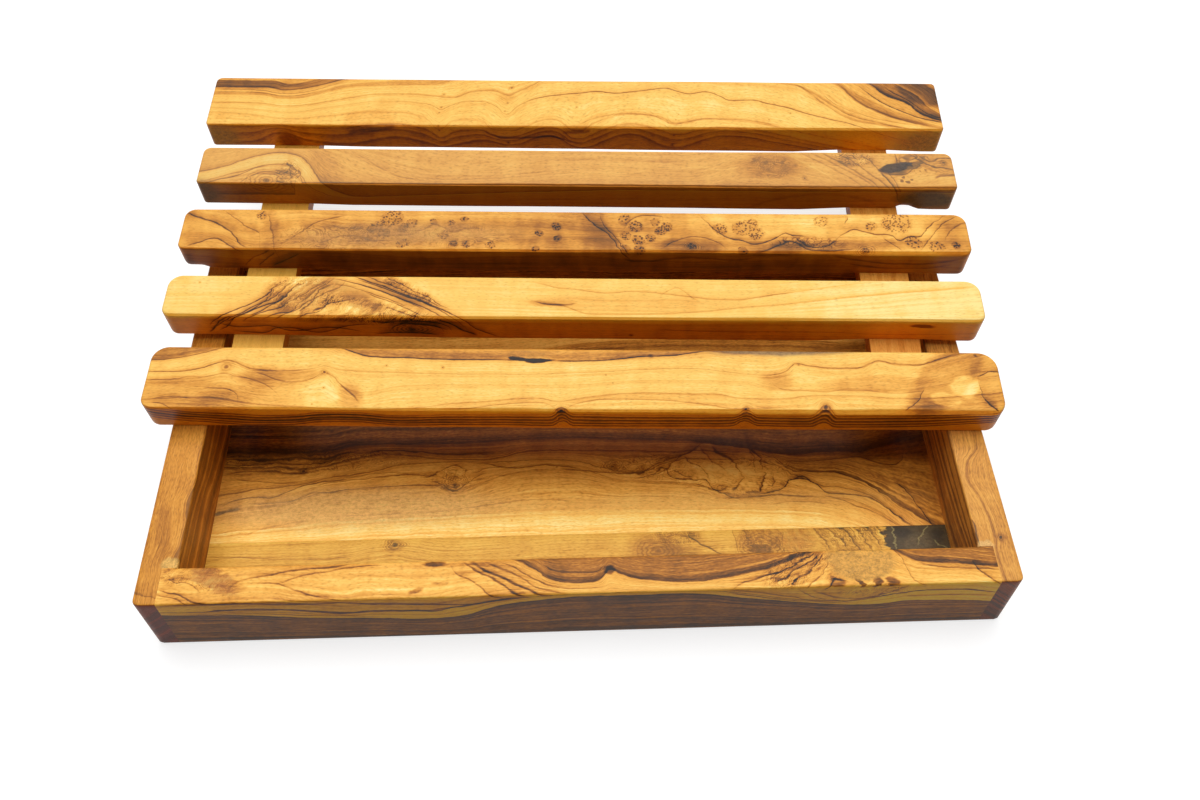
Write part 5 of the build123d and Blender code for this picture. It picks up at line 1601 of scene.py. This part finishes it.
# Where it stands: a plain white table top that keeps the soft shadow, under one wide lamp overhead that
# lies a little behind the board, so that the tops are bright and the front faces stay in shade.
table_half = 3.0
table_gap = 0.0001
lamp_spread = 62.0
lamp_back = 14.0
lamp_strength = 3.0
room_strength = 0.12
table_bounce = 0.45
table_glow = 0.68
table = bpy.data.objects.new("table_top", bpy.data.meshes.new("table_top"))
corners = [(-1, -1), (1, -1), (1, 1), (-1, 1)]
corners = [(x * table_half, y * table_half, -table_gap) for x, y in corners]
table.data.from_pydata(corners, [], [range(4)])
bpy.context.scene.collection.objects.link(table)
white = bpy.data.materials.new("white_laminate")
white.use_nodes = True
white.node_tree.nodes.clear()
white_node = partial(add, white.node_tree)
rays = white_node("LightPath").outputs
seen = white_node("Math", {0: rays["Is Camera Ray"], 1: rays["Is Glossy Ray"]}, operation="MAXIMUM")
seen = white_node("Math", {0: seen, 1: rays["Is Transmission Ray"]}, operation="MAXIMUM")
white_surface = white_node("BsdfDiffuse", {"Color": (table_bounce, table_bounce, table_bounce, 1)})
white_glow = white_node("Math", {0: seen, 1: table_glow}, operation="MULTIPLY")
white_glow = white_node("Emission", {"Color": (1, 1, 1, 1), "Strength": white_glow})
white_sum = white_node("AddShader", {0: white_surface, 1: white_glow})
white_node("OutputMaterial", {"Surface": white_sum})
table.data.materials.append(white)

lamp = bpy.data.lights.new("overhead_softbox", "SUN")
lamp.angle = radians(lamp_spread)
lamp.energy = lamp_strength
lamp_object = bpy.data.objects.new("overhead_softbox", lamp)
lamp_object.rotation_euler = (radians(-lamp_back), 0, 0)
bpy.context.scene.collection.objects.link(lamp_object)

world = bpy.data.worlds.new("room")
bpy.context.scene.world = world
world.use_nodes = True
world.node_tree.nodes.clear()
world_node = partial(add, world.node_tree)
rays = world_node("LightPath").outputs
seen = world_node("Math", {0: rays["Is Camera Ray"], 1: rays["Is Glossy Ray"]}, operation="MAXIMUM")
seen = world_node("Math", {0: seen, 1: rays["Is Transmission Ray"]}, operation="MAXIMUM")
dim = world_node("MapRange", {"Value": seen, "To Min": room_strength, "To Max": 1.0})
world_node("OutputWorld", {"Surface": world_node("Background", {"Color": (1, 1, 1, 1), "Strength": dim})})

# Camera: it stands where the photograph was taken from, in front of the board and well above it. Its place,
# turn and lens were worked out from the rails' and slats' edges.
camera_spot = Vector((-3.33, -329.64, 477.29))
camera_turn = 2.533
camera_down = 53.549
camera_roll = 0.711
camera_lens = 34.005
camera = bpy.data.cameras.new("camera")
camera.lens = camera_lens
camera.clip_start = 0.01
camera.clip_end = 50
camera_object = bpy.data.objects.new("camera", camera)
camera_object.matrix_world = (
    Matrix.Translation(camera_spot * MM)
    @ Matrix.Rotation(radians(-camera_turn), 4, "Z")
    @ Matrix.Rotation(radians(90 - camera_down), 4, "X")
    @ Matrix.Rotation(radians(camera_roll), 4, "Z")
)
bpy.context.scene.collection.objects.link(camera_object)
bpy.context.scene.camera = camera_object
bpy.context.scene.view_settings.view_transform = "Standard"
